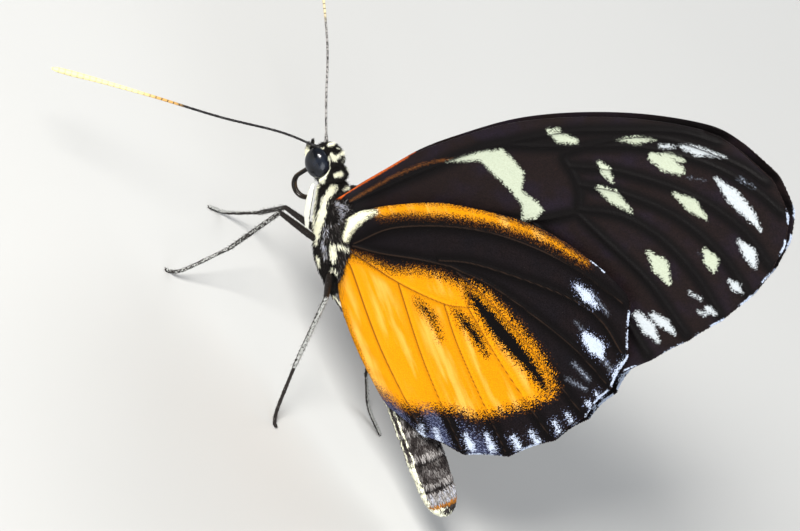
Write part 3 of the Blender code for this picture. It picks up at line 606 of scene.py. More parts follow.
class Look:
    """The node tree of one procedural material, with a call for each kind of node it needs."""

    def __init__(self, name, **constants):
        self.material = bpy.data.materials.new(name)
        self.material.use_nodes = True
        self.tree = self.material.node_tree
        self.shader = self.tree.nodes["Principled BSDF"]
        for socket, value in constants.items():
            self.shader.inputs[socket.replace("_", " ")].default_value = value
        self.place = self.node("ShaderNodeTexCoord").outputs["Object"]
        self.colour = None

    def node(self, kind, **settings):
        """A new node with these settings."""
        made = self.tree.nodes.new(kind)
        for key, value in settings.items():
            setattr(made, key, value)
        return made

    def feed(self, socket, value):
        """Links another node's output to a socket, or sets the socket to a number or colour."""
        if isinstance(value, bpy.types.NodeSocket):
            self.tree.links.new(value, socket)
        elif socket.type == "RGBA":
            socket.default_value = (*value, 1.0)
        else:
            socket.default_value = value

    def attribute(self, name):
        """A number carried by the points of the piece."""
        return self.node("ShaderNodeAttribute", attribute_name=name).outputs["Fac"]

    def maths(self, operation, a, b):
        """Two numbers put through one operation."""
        made = self.node("ShaderNodeMath", operation=operation)
        self.feed(made.inputs[0], a)
        self.feed(made.inputs[1], b)
        return made.outputs[0]

    def times(self, a, b):
        """The product of two numbers."""
        return self.maths("MULTIPLY", a, b)

    def plus(self, a, b):
        """The sum of two numbers."""
        return self.maths("ADD", a, b)

    def noise(self, scale, detail=2.0, place=None):
        """Noise of this many features to a millimetre of the piece, or to a unit of another place."""
        made = self.node("ShaderNodeTexNoise")
        self.feed(made.inputs["Vector"], place or self.place)
        self.feed(made.inputs["Scale"], scale if place else scale / MM)
        self.feed(made.inputs["Detail"], detail)
        return made.outputs["Fac"]

    def stretched(self, place, factors):
        """Places with each coordinate multiplied by its own factor."""
        made = self.node("ShaderNodeMapping")
        self.feed(made.inputs["Vector"], place)
        made.inputs["Scale"].default_value = factors
        return made.outputs["Vector"]

    def drawn_out(self, place, degrees, lengths):
        """Places turned about the body's crosswise axis and then divided by a length along each axis."""
        made = self.node("ShaderNodeMapping", vector_type="TEXTURE")
        self.feed(made.inputs["Vector"], place)
        made.inputs["Rotation"].default_value = (0.0, math.radians(degrees), 0.0)
        made.inputs["Scale"].default_value = lengths
        return made.outputs["Vector"]

    def cells(self, scale, place):
        """The node that splits a place into cells round scattered points."""
        made = self.node("ShaderNodeTexVoronoi")
        self.feed(made.inputs["Vector"], place)
        self.feed(made.inputs["Scale"], scale)
        return made

    def ramp(self, value, low, high, start=0.0, end=1.0):
        """A smooth rise from start to end while the value goes from low to high."""
        made = self.node("ShaderNodeMapRange", interpolation_type="SMOOTHSTEP")
        sockets = ("Value", "From Min", "From Max", "To Min", "To Max")
        for socket, number in zip(sockets, (value, low, high, start, end)):
            self.feed(made.inputs[socket], number)
        return made.outputs["Result"]

    def mix(self, share, first, second):
        """The first colour where the share is zero and the second where it is one."""
        made = self.node("ShaderNodeMix", data_type="RGBA")
        self.feed(made.inputs[0], share)
        self.feed(made.inputs[6], first)
        self.feed(made.inputs[7], second)
        return made.outputs[2]

    def lay(self, share, colour):
        """Puts a colour over what the look has so far, where the share is one."""
        self.colour = self.mix(share, self.colour, colour)

    def shaken(self, value, grain, rough):
        """A value plus grain less a half, times how rough it is to be."""
        return self.plus(value, self.times(self.maths("SUBTRACT", grain, 0.5), rough))

    def within(self, distance, grain, rough, soft):
        """One inside a mark and zero outside, with an edge broken up by grain."""
        return self.ramp(self.shaken(distance, grain, rough), -soft, soft, 1.0, 0.0)

    def mark(self, name, grain, rough, soft):
        """One inside the mark whose signed distance the points carry under this name."""
        return self.within(self.attribute(name), grain, rough, soft)

    def finish(self, roughness, height=None, depth=0.02, strength=0.5):
        """The material, with its colour, its roughness and a bump that many millimetres deep."""
        self.feed(self.shader.inputs["Base Color"], self.colour)
        self.feed(self.shader.inputs["Roughness"], roughness)
        if height is not None:
            bump = self.node("ShaderNodeBump")
            bump.inputs["Strength"].default_value = strength
            bump.inputs["Distance"].default_value = depth * MM
            self.feed(bump.inputs["Height"], height)
            self.feed(self.shader.inputs["Normal"], bump.outputs["Normal"])
        return self.material


# Wings


def forewing_lean(x, z):
    """Distance of the forewing from the plane of symmetry: a standoff plus an exponential of the squared
    distance from its hinge."""
    lean, reach = FOREWING_SPLAY
    far = np.hypot(x - FOREWING_HINGE[0], z - FOREWING_HINGE[1]) / reach
    return FOREWING_STANDOFF + lean * np.exp(-(far**2))


def hindwing_lean(x, z):
    """Distance of the hindwing from the plane of symmetry: a standoff plus an exponential of the squared
    height over the line of the body, which fades out behind."""
    swell, reach = HINDWING_SWELL
    line_x, line_z = np.array([on_body(THORAX_STATIONS[0][0], 0.0)[::2], *ABDOMEN_AXIS]).T
    above = z - np.interp(x, line_x, line_z)
    behind = np.clip((x - HINDWING_SWELL_END[0]) / HINDWING_SWELL_END[1], 0, 1)
    return HINDWING_STANDOFF + swell * np.exp(-((above / reach) ** 2)) * (1 - behind)


def wing_sides(costa, margin, inner, scallop, fine=24):
    """The closed edge of a wing cut at its four corners: front edge, outer margin, inner edge and root.
    Between the points of the margin it is drawn in by a sine."""
    points = np.array([*costa, *margin, *inner], float)
    first, last = len(costa), len(costa) + len(margin) - 1
    edge = spline(points, fine, closed=True)
    middle = points.mean(axis=0)
    place = np.arange(len(edge)) / fine
    share = np.where((place > first) & (place < last), np.sin(math.pi * (place % 1.0)), 0.0)
    edge = edge + unit(middle - edge) * (scallop * share)[:, None]
    edge = np.vstack([edge, edge[:1]])
    a, b, c = (len(costa) - 1) * fine, last * fine, (len(points) - 1) * fine
    return edge[: a + 1], edge[a : b + 1], edge[b : c + 1], edge[c:]


def drawn_in(line, depth, middle):
    """A line moved to its own side, square to it, towards the middle of the wing."""
    slope = unit(np.gradient(line, axis=0), LEAST)
    normal = np.stack([-slope[:, 1], slope[:, 0]], axis=1)
    normal *= np.sign(((middle - line) * normal).sum(axis=1))[:, None]
    return line + normal * depth


def coons(costa, margin, inner, root, rows, columns):
    """A patch spanned between four edges: the blend along, plus the blend across, less the blend of the
    corners."""
    top, bottom = even(costa, rows), even(inner[::-1], rows)
    near, far = even(root[::-1], columns), even(margin, columns)
    u, v = np.meshgrid(np.linspace(0, 1, rows), np.linspace(0, 1, columns), indexing="ij")
    u, v = u[..., None], v[..., None]
    corners = (1 - u) * (1 - v) * top[0] + (1 - u) * v * bottom[0]
    corners = corners + u * (1 - v) * top[-1] + u * v * bottom[-1]
    return (1 - v) * top[:, None] + v * bottom[:, None] + (1 - u) * near[None] + u * far[None] - corners


def turned(points, degrees, pivot):
    """Points in x and z turned about a pivot, so that what lies behind it goes down."""
    angle = math.radians(degrees)
    away = np.asarray(points, float) - pivot
    turn = np.array([[math.cos(angle), -math.sin(angle)], [math.sin(angle), math.cos(angle)]])
    return away @ turn + pivot


def fringe(line, reach, lean, offset, side, first):
    """Flat overlapping scales round the margin, each a slim kite that leans outwards and tapers to its tip.
    The kites lie in three layers, and their lengths and tips vary with sines of their place in the row. Gives
    the points, their places in the wing's own plane, and faces counted on from the first free corner."""
    count = int(np.linalg.norm(np.diff(line, axis=0), axis=1).sum() / SCALE_SPACING)
    roots = even(line, count)
    slope = unit(np.gradient(roots, axis=0))
    out = np.stack([slope[:, 1], -slope[:, 0]], axis=1)
    out *= np.sign(((roots - line.mean(axis=0)) * out).sum(axis=1))[:, None]
    wave = np.arange(count)
    length = (reach * (0.72 + 0.20 * np.sin(wave * 2.399) + 0.08 * np.sin(wave * 0.71)))[:, None]
    tip = slope * (SCALE_SWAY * np.sin(wave * 1.618 * 3.1))[:, None]
    half = slope * SCALE_HALF_WIDTH
    broad = slope * (SCALE_HALF_WIDTH * 1.25)
    corners = [roots - half - out * 0.04, roots + half - out * 0.04, roots + broad + out * (length * 0.55)]
    corners += [roots + out * length + tip, roots - broad + out * (length * 0.55)]
    flat = np.stack(corners, axis=1).reshape(-1, 2)
    sides = len(corners)
    depth = lean(flat[:, 0], flat[:, 1]) + offset + np.repeat(SCALE_LAYER * ((wave % 3) - 1), sides)
    faces_at = (depth + SCALE_HALF_THICKNESS, depth - SCALE_HALF_THICKNESS)
    outer, inner = (np.stack([flat[:, 0], side * away, flat[:, 1]], axis=1) for away in faces_at)
    start = first + sides * wave[:, None]
    ring = np.arange(sides)
    beneath = sides * count
    faces = [(start + ring[::-1]).tolist(), (start + beneath + ring).tolist()]
    for k in range(sides):
        here, after = start + k, start + (k + 1) % sides
        faces.append(np.hstack([here, after, after + beneath, here + beneath]).tolist())
    return np.vstack([outer, inner]), np.vstack([flat, flat]), [face for group in faces for face in group]


def make_wing(sides, veins, marks, lean, offset, side, droop, settings):
    """One wing as a thin patch with two faces and a fringe of scales. Over the vein net the outer face rises
    as the sum of a narrow crest and a broad fold, each an exponential of the distance to the nearest vein,
    and of a sine ripple between them. Gives points, faces, an attribute for each mark, and the map of the
    scale rows."""
    pivot = HINDWING_COSTA[0]
    edge = np.vstack(sides)
    middle = edge.mean(axis=0)
    costa, margin, inner, root = sides
    reach, fineness = settings.fringe_length / MM, settings.wing_fineness
    inset = drawn_in(margin, reach * FRINGE_INSET, middle)
    costa = np.vstack([costa[:-1], inset[:1]])
    inner = np.vstack([inset[-1:], inner[1:]])
    rows, columns = fineness, int(fineness * WING_COLUMNS)
    flat = coons(costa, inset, inner, root, rows, columns).reshape(-1, 2)
    crests = [spline(vein, 6) for vein in veins]
    rim = [np.vstack([costa, inset, inner, root])]
    scales, pattern_scales, scale_faces = fringe(inset, reach, lean, offset, side, 2 * len(flat))
    pattern_points = np.vstack([flat, flat, pattern_scales])
    near_vein = line_distance(flat, crests)
    near_edge = line_distance(flat, rim)
    near_margin = line_distance(flat, [inset])
    u, v = np.meshgrid(np.linspace(0, 1, rows), np.linspace(0, 1, columns), indexing="ij")
    wave = u.ravel() * RIPPLE_TURNS[0] + v.ravel() * RIPPLE_TURNS[1]
    ripple = RIPPLE * np.sin(wave) * np.clip(near_vein, 0, 1)
    crest = VEIN_CREST[0] * np.exp(-((near_vein / VEIN_CREST[1]) ** 2))
    relief = crest + VEIN_FOLD[0] * np.exp(-near_vein / VEIN_FOLD[1]) + ripple
    relief *= np.clip(near_edge / EDGE_FADE, 0, 1)
    placed = turned(flat, droop, pivot) if droop else flat
    middle_y = lean(placed[:, 0], placed[:, 1]) + offset
    faces_at = (middle_y + MEMBRANE / 2 + relief, middle_y - MEMBRANE / 2 + relief * UNDER_RELIEF)
    outer, under = (np.stack([placed[:, 0], side * away, placed[:, 1]], axis=1) for away in faces_at)
    if droop:
        scales[:, ::2] = turned(scales[:, ::2], droop, pivot)
    count = len(flat)
    faces = grid_faces(rows, columns, 0, flip=side > 0) + grid_faces(rows, columns, count, flip=side < 0)
    border = np.concatenate([
        np.arange(columns), np.arange(1, rows) * columns + columns - 1,
        (rows - 1) * columns + np.arange(columns - 2, -1, -1), np.arange(rows - 2, 0, -1) * columns,
    ])
    after = np.roll(border, -1)
    wall = np.stack([after, border, border + count, after + count], axis=1)
    faces += (wall[:, ::-1] if side > 0 else wall).tolist()
    if side > 0:
        scale_faces = [face[::-1] for face in scale_faces]
    faces += scale_faces
    points = np.vstack([outer, under, scales])
    values = {key: pattern(pattern_points) for key, pattern in marks.items()}
    fringe_vein = line_distance(pattern_scales, crests)
    values["vein"] = np.concatenate([near_vein, near_vein, fringe_vein])
    values["edge"] = np.concatenate([near_edge, near_edge, np.full(len(scales), -1.0)])
    near_margin = near_margin + BORDER_FADE * smooth_step(flat[:, 1], *BORDER_TOP)
    values["border"] = np.concatenate([near_margin, near_margin, np.zeros(len(scales))])
    grain = np.stack([u.ravel() * ROWS_SPAN[0], v.ravel() * ROWS_SPAN[1]], axis=1)
    uvs = np.vstack([grain, grain, pattern_scales])
    return points, faces, values, {"Rows": uvs}


def dashes_distance(points, dashes):
    """Signed distance to the white dashes of a fringe, each half a millimetre across."""
    return line_distance(points, [np.array(dash) for dash in dashes]) - DASH_HALF_WIDTH


FOREWING_MARKS = {
    "tips": lambda p: dashes_distance(p, FOREWING_DASHES),
    "cream": lambda p: np.minimum(marks_distance(p, FOREWING_CREAM), patch_distance(p, CELL_BAR)),
    "frost": lambda p: marks_distance(p, FOREWING_FROST),
    "faint": lambda p: marks_distance(p, FOREWING_FAINT),
    "rust": lambda p: marks_distance(p, FOREWING_RUST),
    "streak": lambda p: marks_distance(p, FOREWING_STREAK),
}
HINDWING_MARKS = {
    "tips": lambda p: dashes_distance(p, HINDWING_DASHES),
    "cream": lambda p: marks_distance(p, HINDWING_CREAM),
    "frost": lambda p: marks_distance(p, HINDWING_FROST),
    "faint": lambda p: marks_distance(p, HINDWING_FAINT),
    "rust": lambda p: marks_distance(p, HINDWING_RUST),
    "streak": lambda p: marks_distance(p, HINDWING_DARK),
    "field": lambda p: patch_distance(p, HINDWING_FIELD),
}


def scale_rows(look):
    """Overlapping rows of scales: height from stretched cells in the wing's own map, a random share for each,
    a grain drawn out along the rows, a mixture of grain and share that breaks up the edges of the marks, and
    a second random share."""
    rows = look.node("ShaderNodeUVMap", uv_map="Rows").outputs["UV"]
    cell = look.cells(16.0, look.stretched(rows, (0.75, 1.0, 1.0)))
    single = look.node("ShaderNodeSeparateColor")
    look.feed(single.inputs["Color"], cell.outputs["Color"])
    streaks = look.noise(1.0, 3.0, look.stretched(rows, (4.0, 9.0, 1.0)))
    specks = look.times(single.outputs["Red"], 0.35)
    grain = look.plus(look.times(streaks, 0.75), specks)
    other = single.outputs["Green"]
    stipple = look.plus(look.times(other, 0.9), look.times(grain, 0.3))
    return cell.outputs["Distance"], single.outputs["Red"], grain, stipple, other


def wing_edge(look, settings):
    """Fringe scales that are white in the dashes of the margin and dark between them; the white runs a little
    way on to the membrane."""
    edge = look.attribute("edge")
    grain = look.noise(6.0)
    white = look.mark("tips", grain, 0.7, 0.08)
    reach = look.ramp(look.plus(edge, look.times(grain, 0.16)), 0.10, 0.18, 1.0, 0.0)
    look.lay(look.times(white, reach), settings.frost)
    look.lay(look.ramp(edge, -0.5, -0.05, 1.0, 0.0), look.mix(white, settings.brown, settings.frost))


def forewing_look(settings):
    """Brown ground with cream and white marks, a rust front edge and a rust streak, and dark veins."""
    look = Look("forewing_scales", Roughness=0.6, Specular_IOR_Level=0.09)
    blotch = look.noise(0.30, 3.0)
    height, random, grain, stipple, _ = scale_rows(look)
    vein = look.attribute("vein")
    brown = look.mix(look.ramp(blotch, 0.42, 0.70), settings.brown, VIOLET_SHEEN)
    open_space = look.times(look.ramp(vein, 0.25, 1.0), look.ramp(random, 0.0, 1.0, 0.45, 1.0))
    look.colour = look.mix(open_space, DARK_SCALES, brown)
    faint = look.times(look.mark("faint", grain, 1.1, 0.2), look.ramp(random, 0.4, 0.9))
    look.lay(look.times(faint, 0.55), settings.frost)
    streak = look.mark("streak", random, 0.34, 0.05)
    look.lay(look.times(streak, look.ramp(random, 0.2, 0.8, 0.25, 0.7)), RUST_DARK)
    look.lay(look.times(look.mark("rust", grain, 0.25, 0.06), 0.92), settings.rust)
    tint = look.ramp(random, 0.0, 1.0, 0.86, 1.0)
    look.lay(look.times(look.mark("cream", stipple, 0.38, 0.07), tint), settings.cream)
    look.lay(look.times(look.mark("frost", stipple, 0.42, 0.08), tint), FROST_WARM)
    line = look.ramp(look.plus(vein, look.times(grain, 0.05)), 0.06, 0.13, 1.0, 0.0)
    look.lay(look.times(line, 0.75), DARK_SCALES)
    wing_edge(look, settings)
    return look.finish(look.ramp(random, 0.0, 1.0, 0.42, 0.62), height, depth=0.03)


def hindwing_look(settings):
    """Black ground with an orange field and front band, white marks in a violet border, and fine veins."""
    look = Look("hindwing_scales", Roughness=0.6, Specular_IOR_Level=0.055)
    blotch = look.noise(0.5, 3.0)
    height, random, grain, stipple, other = scale_rows(look)
    vein = look.attribute("vein")
    # Painted sheen: away from the veins the dark ground turns blue-grey slate in patches of noise
    open_space = look.times(look.ramp(vein, 0.2, 1.1), look.ramp(random, 0.0, 1.0, 0.3, 1.0))
    look.colour = look.mix(open_space, DARK_SCALES, look.mix(blotch, SLATE_SHEEN, settings.brown))
    faint = look.mark("faint", grain, 1.1, 0.2)
    look.lay(look.times(faint, look.ramp(random, 0.3, 0.7, 0.1, 1.0)), settings.frost)
    border = look.times(look.ramp(vein, 0.3, 1.1), look.ramp(look.attribute("border"), 0.8, 4.6, 0.8, 0.0))
    violet = look.maths("GREATER_THAN", look.times(border, look.ramp(grain, 0.3, 0.75, 0.6, 1.4)), random)
    look.lay(look.times(violet, 0.85), BORDER_VIOLET)
    look.lay(look.times(look.maths("GREATER_THAN", look.times(border, 0.35), other), 0.6), HALO_BLUE)
    halo = look.mark("frost", stipple, 1.8, 0.1)
    look.lay(look.times(halo, look.ramp(random, 0.3, 0.8, 0.0, 0.7)), HALO_BLUE)
    look.lay(look.mark("field", stipple, 2.0, 0.3), ORANGE_BURNT)
    # Painted highlight: pale orange streaks drawn out along the field, strongest between the veins
    drawn = look.noise(1.0 / MM, 3.0, look.drawn_out(look.place, FIELD_SLOPE, (6.0, 1.0, 0.9)))
    pale = look.times(look.ramp(vein, 0.3, 1.0), look.ramp(drawn, 0.47, 0.72, 0.0, 0.60))
    orange = look.mix(look.ramp(random, 0.0, 1.0, 0.0, 0.35), settings.orange, ORANGE_DEEP)
    orange = look.mix(pale, orange, ORANGE_HIGHLIGHT)
    look.lay(look.mark("field", stipple, 1.2, 0.2), orange)
    streak = look.maths("SUBTRACT", look.attribute("streak"), 0.18)
    look.lay(look.within(streak, stipple, 1.5, 0.2), ORANGE_BURNT)
    look.lay(look.within(streak, stipple, 0.9, 0.10), DARK_SCALES)
    band = look.attribute("rust")
    look.lay(look.within(band, stipple, 1.3, 0.45), ORANGE_BURNT)
    look.lay(look.within(look.plus(band, 0.06), stipple, 0.6, 0.24), orange)
    tint = look.ramp(random, 0.0, 1.0, 0.86, 1.0)
    look.lay(look.times(look.mark("cream", stipple, 0.55, 0.08), tint), settings.coat_cream)
    look.lay(look.times(look.mark("frost", stipple, 0.45, 0.07), tint), settings.frost)
    inside = look.ramp(look.attribute("field"), -0.3, 0.2, 1.0, 0.0)
    line = look.ramp(look.plus(vein, look.times(grain, 0.05)), 0.05, 0.12, 1.0, 0.0)
    look.lay(look.times(line, 0.8), look.mix(inside, VEIN_DARK, VEIN_ORANGE))
    wing_edge(look, settings)
    return look.finish(look.ramp(random, 0.0, 1.0, 0.45, 0.68), height, depth=0.03)


def add_wings(settings):
    """Both forewings and both hindwings, the right hindwing hanging a little lower."""
    looks = forewing_look(settings), hindwing_look(settings)
    forewing = wing_sides(FOREWING_COSTA, FOREWING_MARGIN, FOREWING_INNER, SCALLOP_DEPTH * FOREWING_SCALLOP)
    hindwing = wing_sides(HINDWING_COSTA, HINDWING_MARGIN, HINDWING_INNER, SCALLOP_DEPTH)
    # Name, edges, veins, marks, distance from the middle plane, offset from it, and droop on the right
    plans = (
        ("forewing_", forewing, FOREWING_VEINS, FOREWING_MARKS, forewing_lean, FOREWING_OFFSET, 0.0),
        ("hindwing_", hindwing, HINDWING_VEINS, HINDWING_MARKS, hindwing_lean, HINDWING_OFFSET, RIGHT_DROOP),
    )
    for look, (stem, *shape, droop) in zip(looks, plans):
        for side, hand in SIDES:
            lowered = droop if side > 0 else 0.0
            points, faces, values, maps = make_wing(*shape, side, lowered, settings)
            mesh_piece(stem + hand + ".skin", points, faces, [stem + hand], look, values, maps)


# Body: one skin from the nose to the tail, and the coat over it


def ellipsoid_reach(along, centre, radii):
    """Up, down and half width at each place along the body of a ball stretched along the body's own axes:
    each radius times the root of one less the squared share of the way out."""
    swell = np.sqrt(np.clip(1 - ((along - centre[0]) / radii[0]) ** 2, 0, 1))
    return np.stack([swell * (radii[1] + centre[1]), swell * (radii[1] - centre[1]), swell * radii[2]])


def ring_places(place):
    """Distance along the abdomen since the last ring's hind edge and until the next one's."""
    rings = np.array([-1.0, *ABDOMEN_RINGS, 2.0])
    after = np.searchsorted(rings, place, side="right")
    return place - rings[after - 1], rings[after] - place


def body_stations():
    """Centre, up, down and half width from nose to tail. Head, collar and thorax are the soft maximum of
    their own ovals, with creases between them. The abdomen follows its line: each of its rings swells towards
    its hind edge, and the last steps close as a dome, the root of one less a power of the way."""
    along = np.linspace(*FRONT_REACH, FRONT_STEPS)
    table = np.array(THORAX_STATIONS)[::-1].T
    trunk = np.array([np.interp(along, table[0], row, left=0.0, right=0.0) for row in table[1:]])
    blend = np.ones(9) / 9
    trunk = np.array([np.convolve(np.pad(row, 4, "edge"), blend, "valid") for row in trunk])
    head = ellipsoid_reach(along, HEAD_CENTRE, HEAD_RADII)
    collar = ellipsoid_reach(along, COLLAR_CENTRE, COLLAR_RADII)
    reach = (head**7 + collar**7 + trunk**7) ** (1 / 7)
    for place, depth in CREASES:
        reach = reach - depth * np.exp(-(((along - place) / CREASE_WIDTH) ** 2))
    front = np.column_stack([on_body(along, 0.0)[:, ::2], np.maximum(reach - COAT_DEPTH, NOSE_RADIUS).T])
    line = spline(ABDOMEN_AXIS, ABDOMEN_STEPS)
    place = np.linspace(0, 1, len(line))
    since, until = ring_places(place)
    groove = RING_GROOVE[0] * np.exp(-((since / RING_GROOVE[1]) ** 2))
    swelling = RING_SWELL[0] * np.exp(-((until / RING_SWELL[1]) ** 2))
    radius = stretched_to(ABDOMEN_RADII, len(line)) - ABDOMEN_COAT - groove + swelling
    last = slice(-TAIL_STEPS, None)
    straight = np.interp(place[last], (place[-TAIL_STEPS], 1.0), (radius[-TAIL_STEPS], TAIL_RADIUS))
    radius[last] = straight * np.sqrt(1 - np.linspace(0, 0.998, TAIL_STEPS) ** TAIL_POWER)
    back = np.column_stack([line, radius[:, None] * ABDOMEN_OVAL])[WAIST_STEPS:]
    return even(np.vstack([front, back]), BODY_RINGS)


def ring_grid(stations, columns):
    """Ovals square to the centre line: the middle plus cosine times the half width across, and sine times the
    reach up or down."""
    slope = unit(np.gradient(stations[:, :2], axis=0))
    angle = np.arange(columns) * 2 * math.pi / columns
    rise = np.where(np.sin(angle) > 0, stations[:, 2:3], stations[:, 3:4]) * np.sin(angle)
    x = stations[:, :1] - slope[:, 1:] * rise
    z = stations[:, 1:2] + slope[:, :1] * rise
    return np.stack([x, stations[:, 4:5] * np.cos(angle), z], axis=-1)


def grid_normals(grid):
    """Unit normals and tailward unit directions of a grid whose columns close on themselves. A normal is the
    cross product of the steps across and down, turned away from the middle of its ring."""
    down = np.gradient(grid, axis=0)
    across = np.roll(grid, -1, axis=1) - np.roll(grid, 1, axis=1)
    normal = unit(np.cross(across, down), LEAST)
    outward = grid - grid.mean(axis=1, keepdims=True)
    normal *= np.sign((normal * outward).sum(axis=2))[..., None]
    return normal, unit(down, LEAST)


def capped(grid):
    """Points and outward faces of a tube of rings whose two ends close on the middle of the end ring."""
    rows, columns = grid.shape[:2]
    points = np.vstack([grid.reshape(-1, 3), grid[0].mean(axis=0), grid[-1].mean(axis=0)])
    ring = np.arange(columns)
    after, last = (ring + 1) % columns, (rows - 1) * columns
    front = np.stack([after, ring, np.full(columns, rows * columns)], axis=1)
    back = np.stack([ring + last, after + last, np.full(columns, rows * columns + 1)], axis=1)
    quads = np.array(grid_faces(rows, columns, wrap=True))
    a, b, c = points[quads[:, 0]], points[quads[:, 1]], points[quads[:, 2]]
    inward = (np.cross(b - a, c - a) * (a - grid.mean(axis=(0, 1)))).sum() < 0
    groups = [part[:, ::-1] if inward else part for part in (quads, front, back)]
    return points, [face for part in groups for face in part.tolist()]


class Pieces:
    """Closed forms gathered into one mesh, with a value of each attribute at each point."""

    def __init__(self):
        self.points, self.faces, self.values, self.maps, self.count = [], [], {}, [], 0

    def add(self, points, faces, flat_map=None, **values):
        """One more closed form; a value may be one number for all its points or a number for each."""
        if isinstance(faces, np.ndarray):
            self.faces += (faces + self.count).tolist()
        else:
            self.faces += [[corner + self.count for corner in face] for face in faces]
        self.points.append(points)
        self.maps.append(np.zeros((len(points), 2)) if flat_map is None else flat_map)
        for key, value in values.items():
            self.values.setdefault(key, []).append(np.broadcast_to(np.asarray(value, float), len(points)))
        self.count += len(points)

    def tube(self, path, radii, columns=12, guide=GUIDE, **values):
        """One more round rod with domed ends; a value may vary along it and round it."""
        grid = sweep(path, radii, columns, guide)
        points, faces = capped(grid)
        spread = {}
        for key, value in values.items():
            over_rings = np.broadcast_to(value, grid.shape[:2]).ravel()
            spread[key] = np.append(over_rings, [0, 0]) if np.ndim(value) else value
        self.add(points, faces, **spread)

    def build(self, name, nodes, material):
        """The finished piece, with a map of where each tuft stands."""
        values = {key: np.concatenate(value) for key, value in self.values.items()}
        maps = {"OFBake": np.vstack(self.maps)}
        return mesh_piece(name, np.vstack(self.points), self.faces, nodes, material, values, maps)


def sweep(path, radii, columns, guide=GUIDE):
    """Round rings square to a path, each turned the same way against the guide, closing to a dome at both
    ends, where the radius goes with the sine of a rising angle and the way with its cosine."""
    path, radii = np.asarray(path, float), np.asarray(radii, float)
    slope = unit(np.gradient(path, axis=0))
    dome = np.sin(DOME_ANGLES)
    reach = 1 - np.cos(DOME_ANGLES)
    start = path[0] - slope[0] * radii[0] * (1 - reach)[:, None]
    end = path[-1] + slope[-1] * radii[-1] * (1 - reach[::-1])[:, None]
    path = np.vstack([start, path, end])
    slope = np.vstack([np.repeat(slope[:1], 3, axis=0), slope, np.repeat(slope[-1:], 3, axis=0)])
    radii = np.concatenate([radii[0] * dome, radii, radii[-1] * dome[::-1]])
    side = unit(np.cross(np.asarray(guide, float), slope))
    rise = np.cross(slope, side)
    angle = np.arange(columns) * 2 * math.pi / columns
    around = np.cos(angle)[None, :, None] * side[:, None] + np.sin(angle)[None, :, None] * rise[:, None]
    return path[:, None] + radii[:, None, None] * around


def to_domes(values, first, last):
    """Values along a path carried on to the rings of the domes at its two ends, as a column."""
    return np.concatenate([[first] * 3, values, [last] * 3])[:, None]


def tufts(pieces, roots, normals, lies, lengths, widths, lifts, flat_map, **values):
    """Slim three-sided locks: each leaves the skin at its root, rises by its lift over its length and tapers
    to a point. Every one takes a small patch of the bake map at its root's place."""
    count = len(roots)
    side = unit(np.cross(normals, lies), LEAST)
    steps, widening, thickness = (0.0, 0.45, 0.8), (0.75, 1.0, 0.62), (0.50, 0.42, 0.26)
    rings = []
    for t, wide, thick in zip(steps, widening, thickness):
        sunk = normals * (lifts * t**1.3 - TUFT_SUNK * (1 - t))[:, None]
        middle = roots + (lies * t + sunk) * lengths[:, None]
        half = side * (widths * wide / 2)[:, None]
        rings += [middle - half, middle + half, middle + normals * (widths * thick)[:, None]]
    rings.append(roots + (lies + normals * lifts[:, None]) * lengths[:, None])
    points = np.stack(rings, axis=1).reshape(-1, 3)
    pattern = [(0, 2, 1), (6, 7, 9), (7, 8, 9), (8, 6, 9)]
    for low in (0, 3):
        for k in range(3):
            pattern.append((low + k, low + (k + 1) % 3, low + 3 + (k + 1) % 3))
            pattern.append((low + k, low + 3 + (k + 1) % 3, low + 3 + k))
    faces = (np.arange(count)[:, None, None] * 10 + np.array(pattern)[None]).reshape(-1, 3)
    patch = np.array([(k % 3 - 1, k // 3 - 1.5) for k in range(9)] + [(0, 1.5)]) * BAKE_PATCH
    flat = (flat_map[:, None, :] + patch[None]).reshape(-1, 2)
    spread = {key: np.repeat(np.broadcast_to(value, count), 10) for key, value in values.items()}
    pieces.add(points, faces, flat, **spread)


def coat_piece(name, look, *shape, **values):
    """A coat of tufts as a piece of its own."""
    coat = Pieces()
    tufts(coat, *shape, **values)
    coat.build(name, [], look)


def scattered(grid, count, low=0.0, high=1.0, seed=5):
    """Evenly spread roots over rows low to high of a closed grid, with normals, directions and unwrap places.
    Each root's share of the area and of the turn is the remainder of its number times one of two fixed
    fractions."""
    rows, columns = grid.shape[:2]
    normal, down = grid_normals(grid)
    girth = np.linalg.norm(np.roll(grid, -1, axis=1) - grid, axis=2).sum(axis=1)
    length = np.linalg.norm(np.diff(grid.mean(axis=1), axis=0), axis=1)
    first, last = int(low * (rows - 1)), int(high * (rows - 1))
    area = np.concatenate([[0.0], np.cumsum((girth[:-1] * length)[first:last])])
    order = np.arange(count) + 0.5
    share, turn = order * SPREAD[0] % 1.0, order * SPREAD[1] % 1.0
    random = np.random.default_rng(seed)
    row = np.interp(share, area / area[-1], np.arange(first, last + 1))
    column = (turn + random.uniform(-0.002, 0.002, count)) % 1.0 * columns
    i, j = np.minimum(row.astype(int), rows - 2), column.astype(int) % columns
    s, t = (row - i)[:, None], (column - np.floor(column))[:, None]
    k = (j + 1) % columns

    def blend(field):
        """A field between its four nearest points, weighted by how near each one is."""
        near = (1 - t) * field[i, j] + t * field[i, k]
        far = (1 - t) * field[i + 1, j] + t * field[i + 1, k]
        return (1 - s) * near + s * far

    total = length.sum()
    way = np.concatenate([[0.0], np.cumsum(length)]) / total
    down_map = 0.01 + 0.97 * np.interp(row, np.arange(rows), way)
    flat = np.stack([down_map, 0.02 + column / columns * girth.mean() / total], 1)
    return blend(grid), blend(normal), blend(down), flat, random


def smooth_step(values, low, high):
    """Zero below low, one above high, and three squares less two cubes of the share between."""
    share = np.clip((values - low) / (high - low), 0, 1)
    return share * share * (3 - 2 * share)


def inside_marks(flat, chains, shake, low, high):
    """Share of each point that lies inside the chains, with their edge moved by a shake in millimetres."""
    return smooth_step(-marks_distance(flat, chains) + shake, low, high)


